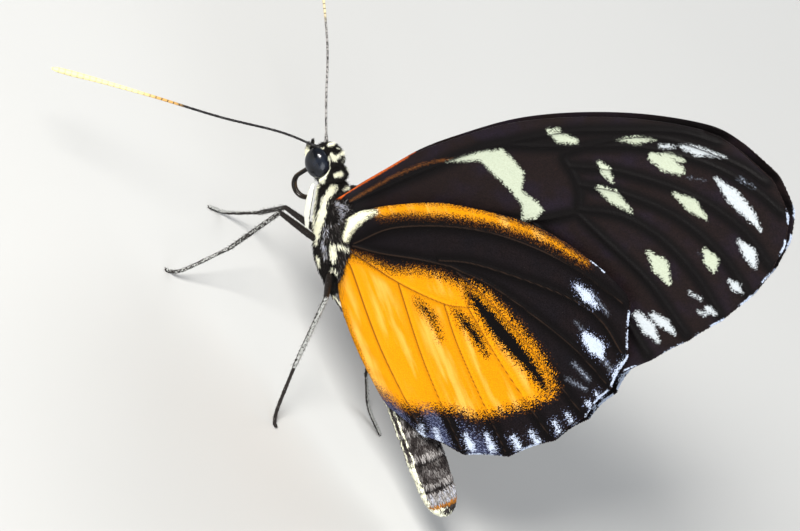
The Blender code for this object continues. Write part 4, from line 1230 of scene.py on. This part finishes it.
def abdomen_marks(points, jitter):
    """A pale hind edge to each ring, two pale lines low on each side, blotches that are products of sines, a
    pearl ring and a tawny one, and a pale end."""
    flat = points[:, ::2]
    line = spline(ABDOMEN_AXIS, ABDOMEN_STEPS)
    away = flat[:, None, :] - line[None, ::4]
    place = np.argmin((away**2).sum(axis=2), axis=1) / (len(line[::4]) - 1)
    high = flat[:, 1] - np.interp(flat[:, 0], line[:, 0], line[:, 1])
    edge = smooth_step(0.034 - ring_places(place + 0.004 * jitter)[1], 0.0, 0.02)
    low = sum(np.exp(-(((high - height) / width) ** 2)) for height, width in SIDE_LINES)
    low = np.where(place > 0.68, 1.0 * (high < -0.55 + 0.12 * jitter), low)
    pearl = smooth_step(place + 0.006 * jitter, PEARL_FROM, PEARL_FROM + 0.02) * (place < TAWNY_REACH[0])
    end = place > TAWNY_REACH[1]
    blotch = np.sin(2.3 * flat[:, 0] + 1.7 * np.sin(2.9 * high) + 2.0 * points[:, 1])
    blotch *= np.sin(3.1 * high + 1.9 * np.sin(1.7 * flat[:, 0]))
    rings = np.clip(0.36 + 0.36 * edge * (0.75 + 0.5 * jitter) + 0.16 * jitter + 0.22 * blotch, 0, 0.84)
    grey = np.where(end, 0.35, np.maximum(rings, pearl * (0.80 + 0.2 * jitter)))
    shade = smooth_step(0.50 - high + 0.6 * jitter, 0.0, 0.4)
    cream = np.where(end, shade, smooth_step(low + 0.40 * jitter, 0.55, 0.9))
    return cream, grey, (place > TAWNY_REACH[0]) & ~end & (high > -0.95 + 0.2 * jitter)


def body_marks(points, jitter):
    """Shares of cream, grey and tawny at points of the body, by name. The marks in front of the abdomen are
    drawn in the side view and hold on both sides."""
    flat = points[:, ::2]
    side = smooth_step(np.abs(points[:, 1]), 0.25, 0.55)
    cream = inside_marks(flat, BODY_CREAM, jitter * 0.14, -0.04, 0.05) * side
    cream = np.maximum(cream, inside_marks(flat, BODY_WHITE, jitter * 0.05, -0.03, 0.04) * side)
    cream = np.maximum(cream, inside_marks(flat, BODY_DOTS, jitter * 0.05, -0.03, 0.04))
    crest = inside_marks(flat, BODY_CREST, jitter * 0.05, -0.03, 0.04)
    cream = np.maximum(cream, crest * (1 - smooth_step(np.abs(points[:, 1]), 0.75, 0.95)))
    clump = np.sin(9.1 * flat[:, 0] + 2.3 * flat[:, 1]) * np.sin(7.7 * flat[:, 1] - 3.1 * flat[:, 0])
    grey = inside_marks(flat, BODY_GREY, jitter * 0.35 + clump * 0.12, -0.15, 0.15) * side
    behind = flat[:, 0] > WAIST_X
    tail_cream, tail_grey, tawny = abdomen_marks(points, jitter)
    tawny &= behind
    cream, grey = np.where(behind, tail_cream, cream), np.where(behind, tail_grey, grey)
    return {"cream": cream * ~tawny, "grey": grey, "tawny": 1.0 * tawny}


def coat_look(name, settings, roughness=0.6):
    """Hair or scales of the body: black, grey or pearl, tawny and cream, by the shares in their
    attributes."""
    look = Look(name, Roughness=roughness, Specular_IOR_Level=0.14)
    grain, fine = look.noise(3.0, 3.0), look.noise(11.0, 2.0)
    look.colour = look.mix(grain, settings.coat_black, COAT_BROWN)
    grey = look.attribute("grey")
    look.lay(look.ramp(grey, 0.0, 0.5), look.mix(grain, COAT_GREY_DARK, COAT_BROWN))
    look.lay(look.ramp(grey, 0.3, 1.0), look.mix(look.ramp(grey, 0.85, 0.95), COAT_GREY, COAT_PEARL))
    look.lay(look.attribute("tawny"), look.mix(grain, RUST_DARK, COAT_TAWNY))
    look.lay(look.attribute("cream"), look.mix(grain, settings.coat_cream, COAT_WHITE))
    return look.finish(look.ramp(fine, 0.2, 0.8, roughness - 0.08, roughness + 0.1), fine)


def outside_eyes(points):
    """True where a point is clear of both eyes: its distances along each radius, squared, add up to over
    one."""
    clear = np.ones(len(points), bool)
    pitch = math.radians(BODY_PITCH)
    for side, _ in SIDES:
        away = points - on_body(EYE_CENTRE[0], EYE_CENTRE[1], side * EYE_CENTRE[2])
        along = -away[:, 0] * math.cos(pitch) + away[:, 2] * math.sin(pitch)
        above = away[:, 0] * math.sin(pitch) + away[:, 2] * math.cos(pitch)
        sunk = (along / EYE_RADII[0]) ** 2 + (above / EYE_RADII[1]) ** 2 + (away[:, 1] / EYE_RADII[2]) ** 2
        clear &= sunk > 1.02
    return clear


def add_body(settings):
    """Skin over head, collar, thorax and abdomen with its coats, hair in front and flat scales behind, then the
    lobes at the tail and the hair over the wing roots."""
    stations = body_stations()
    grid = ring_grid(stations, BODY_COLUMNS)
    jitter = np.random.default_rng(3).uniform(-1, 1, grid.shape[:2])
    normal, _ = grid_normals(grid)
    grid = grid + normal * (SKIN_GRAIN * jitter)[..., None]
    points, faces = capped(grid)
    look = coat_look("body_skin", settings, 0.65)
    skin = Pieces()
    skin.add(points, faces, **body_marks(points, np.append(jitter.ravel(), [0, 0])))
    skin.build("body.skin", ["head", "collar", "thorax", "abdomen"], look)
    hair = coat_look("body_hair", settings)
    waist = np.argmax(stations[:, 0] > HAIR_END_X) / len(stations)
    # Name, first and last share of the way to the tail, tufts, lengths, width and lifts
    plans = (
        ("coat.head", 0.0, NECK_SHARE, 7500, (0.16, 0.34), 0.050, (0.35, 0.95)),
        ("coat.thorax", NECK_SHARE, waist + 0.02, 11000, (0.28, 0.62), 0.062, (0.12, 0.50)),
        ("coat.abdomen", waist, 0.995, 10500, (0.30, 0.46), 0.150, (0.04, 0.16)),
    )
    for name, low, high, count, length, width, lift in plans:
        roots, normals, lies, flat, random = scattered(grid, int(count * settings.coat_share), low, high)
        kept = outside_eyes(roots)
        roots, normals, lies, flat = roots[kept], normals[kept], lies[kept], flat[kept]
        shake = random.normal(0, 1, roots.shape)
        lies = lies + 0.16 * shake - 0.05 * np.array([0, 0, 1.0])
        lies = unit(lies - normals * (lies * normals).sum(axis=1)[:, None])
        total = len(roots)
        long = random.uniform(*length, total)
        marks = body_marks(roots + lies * (long * 0.5)[:, None], random.uniform(-1, 1, total))
        share, lifts = drawn(random, total, (0.75, 1.2), lift)
        coat_piece(name, hair, roots, normals, lies, long, share * width, lifts, flat, **marks)
    add_valves(settings)
    add_root_coats(settings)


def drawn(random, total, *spans):
    """Random values for each span in turn, as many as there are tufts."""
    return [random.uniform(*span, total) for span in spans]


def add_valves(settings):
    """The two cream lobes that end the abdomen, each a fat short rod under flat scales, dark at the top."""
    look = coat_look("valve_scales", settings)
    for side, hand in SIDES:
        path = spline(np.array([(x, side * y, z) for x, z, y in VALVE]), 12)
        radii = stretched_to(VALVE_RADII, len(path))
        grid = sweep(path, radii, 24)
        lobe = Pieces()
        cream = smooth_step(VALVE_DARK_ABOVE - grid[:, :, 2], -0.25, 0.1)
        lobe.tube(path, radii, 24, cream=cream, grey=0.35, tawny=0.0)
        lobe.build("valve_" + hand + ".skin", [], look)
        roots, normals, lies, flat, random = scattered(grid, 420, 0.12, 0.80, 9)
        total = len(roots)
        shake = random.uniform(-1, 1, total)
        lies = lies + random.normal(0, 0.1, roots.shape)
        cream = smooth_step(0.15 * shake - (roots[:, 2] - VALVE_DARK_ABOVE), -0.15, 0.1)
        marks = {"cream": cream, "grey": 0.35 + 0.3 * shake, "tawny": 0.0}
        sizes = drawn(random, total, (0.16, 0.26), (0.06, 0.10), (0.02, 0.12))
        coat_piece("coat.valve_" + hand, look, roots, normals, lies, *sizes, flat, **marks)


def add_root_coats(settings):
    """Hair over the wing roots: locks on the face of each wing that point away from its hinge, held close to
    it. Their map is the wing's own plane."""
    look = coat_look("root_hair", settings)
    # Outline, distance from the middle plane, offset from it, tufts, and droop on the right
    plans = (
        (FOREWING_ROOT_COAT, forewing_lean, FOREWING_OFFSET, 1500, 0.0),
        (HINDWING_ROOT_COAT, hindwing_lean, HINDWING_OFFSET, 2600, RIGHT_DROOP),
    )
    for side, hand in SIDES:
        coat = Pieces()
        for polygon, lean, offset, count, droop in plans:
            random = np.random.default_rng(21)
            low, high = np.min(polygon, axis=0), np.max(polygon, axis=0)
            order = np.arange(int(count * settings.coat_share))[:, None] + 0.5
            flat = low + order * SPREAD % 1.0 * (high - low)
            flat = flat[patch_distance(flat, polygon) < 0]
            total = len(flat)
            away = unit(flat - ROOT_COAT_SOURCE + random.normal(0, 0.5, flat.shape))
            long = random.uniform(0.30, 0.60, total)
            marks = body_marks(np.insert(flat + away * 0.2, 1, 2.0, axis=1), random.uniform(-1, 1, total))
            marks["grey"] = np.where(random.uniform(0, 1, total) < 0.10, 0.50, marks["grey"])
            unwrap = 0.05 + 0.9 * (flat - low) / (high - low).max()
            if droop and side > 0:
                flat, away = turned(flat, droop, HINDWING_COSTA[0]), turned(away, droop, (0.0, 0.0))
            depth = side * (lean(flat[:, 0], flat[:, 1]) + offset + MEMBRANE)
            roots = np.stack([flat[:, 0], depth, flat[:, 1]], axis=1)
            lies = np.stack([away[:, 0], np.zeros(total), away[:, 1]], axis=1)
            outward = np.tile([0.0, side, 0.0], (total, 1))
            widths, lifts = drawn(random, total, (0.045, 0.075), (0.08, 0.55))
            tufts(coat, roots, outward, lies, long, widths, lifts, unwrap, **marks)
        coat.build("coat.root_" + hand, [], look)
        add_hinge_pad(look, side, hand)


def add_hinge_pad(look, side, hand):
    """A rounded pad over the hinge of one forewing, and the hair on it."""
    path = body_path(TEGULA, side, 10)
    radii = stretched_to(TEGULA_RADII, len(path))
    pad = Pieces()
    pad.tube(path, radii, 20, cream=0.0, grey=0.15, tawny=0.0)
    pad.build("tegula_" + hand + ".pad", [], look)
    roots, normals, lies, flat, random = scattered(sweep(path, radii, 20), 700, 0.04, 0.98, 31)
    total = len(roots)
    lies = lies + random.normal(0, 0.2, roots.shape)
    long = random.uniform(0.2, 0.42, total)
    marks = body_marks(roots + lies * (long * 0.4)[:, None], random.uniform(-1, 1, total))
    sizes = drawn(random, total, (0.04, 0.07), (0.15, 0.5))
    coat_piece("coat.tegula_" + hand, look, roots, normals, lies, long, *sizes, flat, **marks)


# Head, tongue and feelers


def add_eyes(settings):
    """Dark eyes of fine facets. A point of each is its middle plus one radius times the cosine of the tilt,
    and the two others times the tilt's sine and the sine or cosine of the turn."""
    look = Look("eye_gloss", Roughness=0.12, Coat_Weight=0.12, Coat_Roughness=0.04, Specular_IOR_Level=0.30)
    facets = look.cells(EYE_FACETS / MM, look.place).outputs["Distance"]
    cloud = look.noise(0.9, 3.0)
    look.colour = look.mix(look.ramp(cloud, 0.35, 0.68), settings.eye, EYE_BLUE)
    gloss = look.finish(look.ramp(cloud, 0.2, 0.8, 0.13, 0.22), facets, 0.012, 0.35)
    tilt = np.linspace(0.02, math.pi - 0.02, 60)[:, None]
    angle = np.arange(80) * 2 * math.pi / 80
    for side, hand in SIDES:
        ball = on_body(
            EYE_CENTRE[0] + EYE_RADII[0] * np.cos(tilt) * np.ones_like(angle),
            EYE_CENTRE[1] + EYE_RADII[1] * np.sin(tilt) * np.sin(angle),
            side * (EYE_CENTRE[2] + EYE_RADII[2] * np.sin(tilt) * np.cos(angle)),
        )
        eye = Pieces()
        eye.add(*capped(ball))
        eye.build("eye_" + hand + ".lens", ["eye_" + hand], gloss)


def add_palps(settings):
    """Palps under their own scales, narrowed at one joint, cream on the outer face and dark at the tip."""
    look = coat_look("face_scales", settings)
    for side, hand in SIDES:
        path = body_path(PALP, side, 10)
        share = np.linspace(0, 1, len(path))
        radii = stretched_to(PALP_RADII, len(path)) * (1 - 0.25 * np.exp(-(((share - 0.72) / 0.03) ** 2)))
        palp = Pieces()
        palp.tube(path, radii, 20, cream=0.55, grey=0.3, tawny=0.0)
        palp.build("palp_" + hand + ".skin", ["palp_" + hand], look)
        roots, normals, lies, flat, random = scattered(sweep(path, radii, 20), 900, 0.04, 0.99, 8)
        total = len(roots)
        outward = normals[:, 1] * side + 0.3 * random.uniform(-1, 1, total)
        forward = (roots - on_body(PALP[0][0], PALP[0][1])) @ (on_body(1, 0.0) - on_body(0, 0.0))
        cream = smooth_step(outward, -0.1, 0.3) * (1 - smooth_step(forward, 1.35, 1.55))
        lies = lies + random.normal(0, 0.12, roots.shape)
        marks = {"cream": cream, "grey": 0.0, "tawny": 0.0}
        sizes = drawn(random, total, (0.15, 0.26), (0.03, 0.045), (0.2, 0.5))
        coat_piece("coat.palp_" + hand, look, roots, normals, lies, *sizes, flat, **marks)


def add_tongue():
    """Two slender tubes side by side, wound in one loose turn under the face and ringed across their length.
    A point of the turn is its middle plus a shrinking radius times the cosine and the sine of the angle."""
    turns = np.radians(np.linspace(*COIL_TURN, 60))
    radius = np.linspace(COIL_RADIUS, COIL_RADIUS * COIL_TIP, len(turns))
    wound = on_body(COIL_CENTRE[0] + radius * np.cos(turns), COIL_CENTRE[1] - radius * np.sin(turns))
    path = even(spline(np.vstack([on_body(*TONGUE_ROOT), wound[::6], wound[-1]]), 8), 150)
    look = Look("tongue", Roughness=0.3, Coat_Weight=0.08, Coat_Roughness=0.2, Specular_IOR_Level=0.22)
    grain = look.noise(1.6, 3.0)
    look.colour = look.mix(look.ramp(look.attribute("share"), 0.25, 0.9), TONGUE_DARK, TONGUE_BROWN)
    # Painted highlight: a gold line at two fixed places round each tube, all along it
    gold_highlight = look.times(look.ramp(look.attribute("seam"), 0.45, 0.9), look.ramp(grain, 0.4, 0.6, 0.1, 0.6))
    look.lay(gold_highlight, TONGUE_GOLD_HIGHLIGHT)
    gloss = look.finish(look.ramp(grain, 0.2, 0.8, 0.22, 0.4), look.noise(9.0), 0.01, 0.4)
    share = np.linspace(0, 1, len(path))
    radii = np.interp(share, *TUBE_PROFILE) * (1 + 0.05 * np.sin(share * TUBE_RINGS))
    # Where the painted gold highlight lies round each tube
    turn = np.arange(16) / 16
    seam = np.exp(-(((turn - 0.5) / 0.05) ** 2)) + np.exp(-(((turn - 0.85) / 0.04) ** 2))
    tongue = Pieces()
    for side, _ in SIDES:
        beside = path + np.array([0, side * TUBE_SPACING, 0])
        tongue.tube(beside, radii, 16, (0, 1, 0), share=to_domes(share, 0, 1), seam=seam)
    tongue.build("proboscis.tubes", ["proboscis"], gloss)


def feeler_look(name, settings):
    """Black rods with grey flecks, a rust or pale stretch before the club, yellow clubs and black joints."""
    look = Look(name, Roughness=0.55, Specular_IOR_Level=0.25)
    share, fleck, grain = look.attribute("share"), look.attribute("fleck"), look.noise(5.0, 3.0)
    place = look.shaken(share, grain, 0.04)
    thick = look.plus(grain, look.times(fleck, 0.16))
    look.colour = look.mix(look.times(look.ramp(thick, 0.54, 0.66), fleck), FEELER_BLACK, FEELER_GREY)
    look.lay(look.ramp(place, 0.52, 0.57), look.mix(fleck, FEELER_RUST, FEELER_PALE))
    look.lay(look.ramp(place, 0.60, 0.72), settings.feeler_tip)
    between = look.maths("MAXIMUM", look.attribute("joint"), look.ramp(share, 0.58, 0.70, 0.0, 0.75))
    look.colour = look.mix(between, FEELER_BLACK, look.colour)
    return look.finish(look.ramp(grain, 0.2, 0.8, 0.45, 0.65), look.noise(14.0), 0.01)


def add_feelers(settings):
    """Slender rods of many joints that thicken slowly to a long club, each with a round socket on the brow.
    The radius narrows at each joint by an exponential of the distance from it."""
    look = feeler_look("feelers", settings)
    for side, hand in SIDES:
        along, above, across = ANTENNA_ROOT
        path = even(spline(np.vstack([on_body(along, above, side * across), ANTENNA_TIPS[hand]]), 30), 640)
        share = np.linspace(0, 1, len(path))
        ring = (share * FEELER_JOINTS) % 1.0
        away = np.minimum(ring, 1 - ring)
        depth = np.interp(share, (0.5, 0.7), (0.12, 0.04))
        radii = np.interp(share, *np.array(FEELER_PROFILE).T) * (1 - depth * np.exp(-((away / 0.10) ** 2)))
        joint = to_domes(smooth_step(away, 0.02, 0.16), 1, 1)
        fleck = FEELER_FLECKS[hand]
        feeler = Pieces()
        feeler.tube(path, radii, 14, share=to_domes(share, 0, 1), joint=joint, fleck=fleck)
        ahead = unit(path[12] - path[0])
        for reach, size in SOCKET_BEADS:
            bead = path[0] + ahead * np.linspace(reach - 0.05, reach + 0.08, 6)[:, None]
            feeler.tube(bead, np.full(6, size), 18, share=0.0, joint=1.0, fleck=fleck)
        feeler.build("antenna_" + hand + ".rod", ["antenna_" + hand], look)


# Legs


def leg_look(name, pale):
    """Black and brown scales, with pale ones where the line attribute is high."""
    look = Look(name, Roughness=0.6, Specular_IOR_Level=0.16)
    grain, fine = look.noise(6.0, 3.0), look.noise(12.0)
    look.colour = look.mix(grain, LEG_BLACK, LEG_BROWN)
    look.lay(look.ramp(look.shaken(look.attribute("line"), grain, 1.3), 0.45, 0.62), pale)
    return look.finish(look.ramp(fine, 0.2, 0.8, 0.45, 0.65), fine)


def limb(pieces, path, radii, pale, spines, seed, side, lean=1.0, long=(0.16, 0.34)):
    """One segment as a rod, pale where it faces up and out, and fine spines that stand out from it. The share
    of pale at a point is the cosine between its own normal and that direction laid square to the rod."""
    path = even(np.asarray(path, float), 70)
    radii = stretched_to(radii, len(path))
    grid = sweep(path, radii, 16, LIMB_GUIDE)
    slope = unit(np.gradient(grid.mean(axis=1), axis=0))
    bright = np.array(PALE_SIDE) * (1, side, 1)
    bright = unit(bright - slope * (slope @ bright)[:, None])
    normal = unit(grid - grid.mean(axis=1, keepdims=True))
    facing = (normal * bright[:, None]).sum(axis=2)
    pieces.tube(path, radii, 16, LIMB_GUIDE, line=smooth_step(facing, -0.5, 0.6) * pale)
    if spines:
        roots, normals, lies, flat, random = scattered(grid, spines, 0.08, 0.95, seed)
        lengths, lifts, line = drawn(random, spines, long, (0.3, 0.8), (0.0, 0.2 + 0.6 * pale))
        tufts(pieces, roots, normals, lies, lengths, np.full(spines, 0.035), lifts * lean, flat, line=line)


def add_claws(pieces, foot, knee, ankle):
    """Two claws past the end of a foot, each bent by sines of the way along it, and two spurs at the
    ankle."""
    ahead = unit(foot[-1] - foot[-5])
    across = np.cross(ahead, (0, 0, 1.0))
    bend = np.linspace(0, 1, 9)[:, None]
    drop = np.array([0, 0, 1.0]) * (0.07 * np.sin(bend * 3.1) - 0.07 * bend)
    for turn in (-1, 1):
        claw = foot[-1] + ahead * 0.22 * np.sin(bend * 1.7) + across * turn * 0.14 * bend + drop
        pieces.tube(claw, np.linspace(0.045, 0.012, 9), 8, line=0.0)
    out = unit(np.cross(ankle - knee, (0, 0, 1.0)))
    way, apart = np.linspace(0, 0.8, 8)[:, None], np.linspace(0.08, 0.24, 8)[:, None]
    for turn in (-1, 1):
        spur = ankle + (foot[14] - ankle) * way + out * turn * apart
        pieces.tube(spur, np.linspace(0.04, 0.012, 8), 8, line=0.4)


def add_legs(settings):
    """Walking legs of thigh, shin and a jointed foot with two claws, held just over the floor."""
    look = leg_look("leg_scales", settings.leg_pale)
    rise = np.array([0, 0, 0.10])
    for number, (name, points) in enumerate(LEGS.items()):
        leg, hand = name.split("_")
        side = -1 if hand == "left" else 1
        root, knee, ankle, sole, toe = (np.array([x, side * y, z]) for x, y, z in points)
        pieces = Pieces()
        limb(pieces, [root, knee], FEMUR_RADII, 0.20, 260, number, side, 0.4)
        # The pale share of each shin and foot is partly painted light, raised on the far legs in shade and
        # lowered on the lit near ones
        limb(pieces, [knee, ankle], TIBIA_RADII, TIBIA_PALE_AND_PAINTED_LIGHT[name], 150, 10 + number, side)
        tip = toe + unit((toe - sole) * (1, 1, 0)) * TOE_PAST_FLAT
        foot = even(spline(np.vstack([ankle, sole + rise * 2, toe + rise * 1.6, tip + rise]), 20), 160)
        cuts = (np.array(TARSUS_CUTS) * (len(foot) - 1)).astype(int)
        for k in range(len(cuts) - 1):
            piece = foot[cuts[k] : cuts[k + 1] + 1]
            spines, seed = 70 if k == 0 else 24, 20 + 5 * number + k
            limb(pieces, piece, TARSUS_RADII, TARSUS_PALE_AND_PAINTED_LIGHT[name], spines, seed, side, 1.0, (0.10, 0.20))
        add_claws(pieces, foot, knee, ankle)
        nodes = [f"{leg}_{part}_{hand}" for part in ("femur", "tibia", "tarsus")]
        pieces.points = [np.maximum(part, (-FAR_AWAY, -FAR_AWAY, FLOOR_GAP)) for part in pieces.points]
        pieces.build(name + ".limb", nodes, look)


def add_brushes():
    """The short forelegs held to the breast, each a rod under long scales that are white on the outer
    face."""
    look = leg_look("brush_scales", BRUSH_WHITE)
    for side, hand in SIDES:
        path = body_path(FORELEG, side, 20)
        brush = Pieces()
        limb(brush, path, BRUSH_RADII, 1.6, 0, 60, side)
        grid = sweep(even(path, 70), stretched_to(BRUSH_RADII, 70), 20)
        roots, normals, lies, flat, random = scattered(grid, 900, 0.03, 0.97, 61)
        total = len(roots)
        outward = normals @ np.array([0, side * 1.0, 0])
        line = 1.5 * smooth_step(outward + random.uniform(-0.25, 0.25, total), 0.0, 0.35)
        sizes = drawn(random, total, (0.2, 0.36), (0.03, 0.05), (0.08, 0.3))
        tufts(brush, roots, normals, -lies, *sizes, flat, line=line)
        brush.build("foreleg_" + hand + ".brush", ["foreleg_" + hand], look)


# Stage


def add_camera(scene):
    """The camera, turned about its line of sight: its right is the level direction times the roll's cosine
    plus the upward one times its sine, and its top is square to that."""
    elevation, roll = math.radians(CAMERA_ELEVATION), math.radians(CAMERA_ROLL)
    level = np.array([1.0, 0.0, 0.0])
    upward = np.array([0.0, math.sin(elevation), math.cos(elevation)])
    sight = np.array([0.0, math.cos(elevation), -math.sin(elevation)])
    right = math.cos(roll) * level + math.sin(roll) * upward
    top = -math.sin(roll) * level + math.cos(roll) * upward
    camera = bpy.data.objects.new("camera", bpy.data.cameras.new("camera"))
    scene.collection.objects.link(camera)
    turn = Matrix(np.stack([right, top, -sight], axis=1).tolist())
    aim = Vector(CAMERA_AIM) * MM + Vector(datum())
    camera.matrix_world = Matrix.Translation(aim - Vector(sight) * CAMERA_DISTANCE * MM) @ turn.to_4x4()
    camera.data.sensor_width = SENSOR_WIDTH
    camera.data.lens = SENSOR_WIDTH * CAMERA_DISTANCE / PICTURE_WIDTH
    camera.data.clip_start, camera.data.clip_end = 0.01, 10.0
    scene.camera = camera


def add_stage(settings):
    """The camera, a grey floor, three soft lights and a pale sky."""
    scene = bpy.context.scene
    add_camera(scene)
    reach = settings.floor_reach
    mesh = bpy.data.meshes.new("floor")
    corners = [(-reach, -reach, 0), (reach, -reach, 0), (reach, reach, 0), (-reach, reach, 0)]
    mesh.from_pydata(corners, [], [(0, 1, 2, 3)])
    floor = bpy.data.objects.new("floor", mesh)
    scene.collection.objects.link(floor)
    look = Look("floor", Roughness=0.85)
    cloud = look.noise(0.02, 3.0)
    shade = [FLOOR_SHADE * channel for channel in settings.floor_grey]
    look.colour = look.mix(cloud, shade, settings.floor_grey)
    mesh.materials.append(look.finish(look.ramp(cloud, 0, 1, 0.8, 0.9)))
    for name, place, size, power, tint in LAMPS:
        lamp = bpy.data.lights.new(name, "AREA")
        lamp.energy, lamp.size, lamp.color = power * settings.light, size, tint
        holder = bpy.data.objects.new(name, lamp)
        scene.collection.objects.link(holder)
        holder.location = place
        holder.rotation_euler = (Vector(LAMP_AIM) - Vector(place)).to_track_quat("-Z", "Y").to_euler()
    world = bpy.data.worlds.new("studio")
    world.use_nodes = True
    world.node_tree.nodes["Background"].inputs["Color"].default_value = (*SKY, 1.0)
    world.node_tree.nodes["Background"].inputs["Strength"].default_value = SKY_STRENGTH
    scene.world = world
    scene.view_settings.view_transform = "Standard"


# Add-on


def colour_property(name, description, default):
    """A colour that a user may change."""
    return bpy.props.FloatVectorProperty(
        name=name, description=description, subtype="COLOR", size=3, min=0.0, max=1.0, default=default
    )


class ButterflyProperties(bpy.types.PropertyGroup):
    """Sizes and colours that a user may change."""

    wing_fineness: bpy.props.IntProperty(
        name="Wing rows", description="Rows of points from a wing's root to its margin", default=250,
        min=40, max=270,
    )
    fringe_length: bpy.props.FloatProperty(
        name="Fringe length", description="Longest scales of the wing margin", default=FRINGE_LENGTH * MM,
        min=0.0, unit="LENGTH", subtype="DISTANCE",
    )
    coat_share: bpy.props.FloatProperty(
        name="Coat share", description="Share of the full number of tufts", default=1.0, min=0.05, max=1.0,
        subtype="FACTOR",
    )
    orange: colour_property("Orange", "Field and front band of the hindwings", ORANGE)
    cream: colour_property("Cream", "Inner marks of the forewings", CREAM)
    frost: colour_property("Frost", "White marks and fringe of the hindwings", FROST)
    rust: colour_property("Rust", "Front edge of the forewings", RUST)
    brown: colour_property("Brown", "Ground of the wings", DARK_BROWN)
    coat_cream: colour_property("Cream hair", "Stripes of the body, root mark of the hindwings", COAT_CREAM)
    coat_black: colour_property("Black hair", "Ground of the body", COAT_BLACK)
    eye: colour_property("Eyes", "Dark parts of the eyes", EYE_DARK)
    feeler_tip: colour_property("Feeler tips", "Clubs of the feelers", FEELER_YELLOW)
    leg_pale: colour_property("Leg flecks", "Pale scales of the legs", LEG_PALE)
    floor_grey: colour_property("Floor", "Studio floor", FLOOR_GREY)
    floor_reach: bpy.props.FloatProperty(
        name="Floor reach", description="Distance from the middle of the floor to its edge", default=1.5,
        unit="LENGTH", subtype="DISTANCE",
    )
    light: bpy.props.FloatProperty(
        name="Light", description="Strength of all studio lights together", default=0.55, min=0.0
    )


class BUTTERFLY_OT_wings(bpy.types.Operator):
    """Build the four wings with their veins, pattern and fringe."""

    bl_idname = "butterfly.wings"
    bl_label = "Wings"

    def execute(self, context):
        add_wings(context.scene.butterfly)
        return {"FINISHED"}


class BUTTERFLY_OT_body(bpy.types.Operator):
    """Build the skin and the coat of the body."""

    bl_idname = "butterfly.body"
    bl_label = "Body"

    def execute(self, context):
        add_body(context.scene.butterfly)
        return {"FINISHED"}


class BUTTERFLY_OT_head(bpy.types.Operator):
    """Build the eyes, palps and tongue."""

    bl_idname = "butterfly.head"
    bl_label = "Head"

    def execute(self, context):
        add_eyes(context.scene.butterfly)
        add_palps(context.scene.butterfly)
        add_tongue()
        return {"FINISHED"}


class BUTTERFLY_OT_feelers(bpy.types.Operator):
    """Build the two jointed feelers."""

    bl_idname = "butterfly.feelers"
    bl_label = "Feelers"

    def execute(self, context):
        add_feelers(context.scene.butterfly)
        return {"FINISHED"}


class BUTTERFLY_OT_legs(bpy.types.Operator):
    """Build the walking legs and the brushes."""

    bl_idname = "butterfly.legs"
    bl_label = "Legs"

    def execute(self, context):
        add_legs(context.scene.butterfly)
        add_brushes()
        return {"FINISHED"}


class BUTTERFLY_OT_stage(bpy.types.Operator):
    """Set the camera, floor and studio lights."""

    bl_idname = "butterfly.stage"
    bl_label = "Stage"

    def execute(self, context):
        add_stage(context.scene.butterfly)
        return {"FINISHED"}


OPERATORS = (
    BUTTERFLY_OT_wings, BUTTERFLY_OT_body, BUTTERFLY_OT_head, BUTTERFLY_OT_feelers,
    BUTTERFLY_OT_legs, BUTTERFLY_OT_stage,
)


class BUTTERFLY_PT_panel(bpy.types.Panel):
    """The sizes and colours, and a button for each group of pieces."""

    bl_label = "Butterfly"
    bl_space_type = "VIEW_3D"
    bl_region_type = "UI"
    bl_category = "Butterfly"

    def draw(self, context):
        for key in ButterflyProperties.__annotations__:
            self.layout.prop(context.scene.butterfly, key)
        for made in OPERATORS:
            self.layout.operator(made.bl_idname)


def register():
    """Adds the classes and the settings to the session."""
    for made in (ButterflyProperties, *OPERATORS, BUTTERFLY_PT_panel):
        bpy.utils.register_class(made)
    bpy.types.Scene.butterfly = bpy.props.PointerProperty(type=ButterflyProperties)


def unregister():
    """Takes the settings and the classes out again."""
    del bpy.types.Scene.butterfly
    for made in reversed((ButterflyProperties, *OPERATORS, BUTTERFLY_PT_panel)):
        bpy.utils.unregister_class(made)


def main():
    """Builds every piece in order."""
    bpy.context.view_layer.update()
    register()
    bpy.ops.butterfly.wings()
    bpy.ops.butterfly.body()
    bpy.ops.butterfly.head()
    bpy.ops.butterfly.feelers()
    bpy.ops.butterfly.legs()
    bpy.ops.butterfly.stage()


if __name__ == "__main__":
    main()
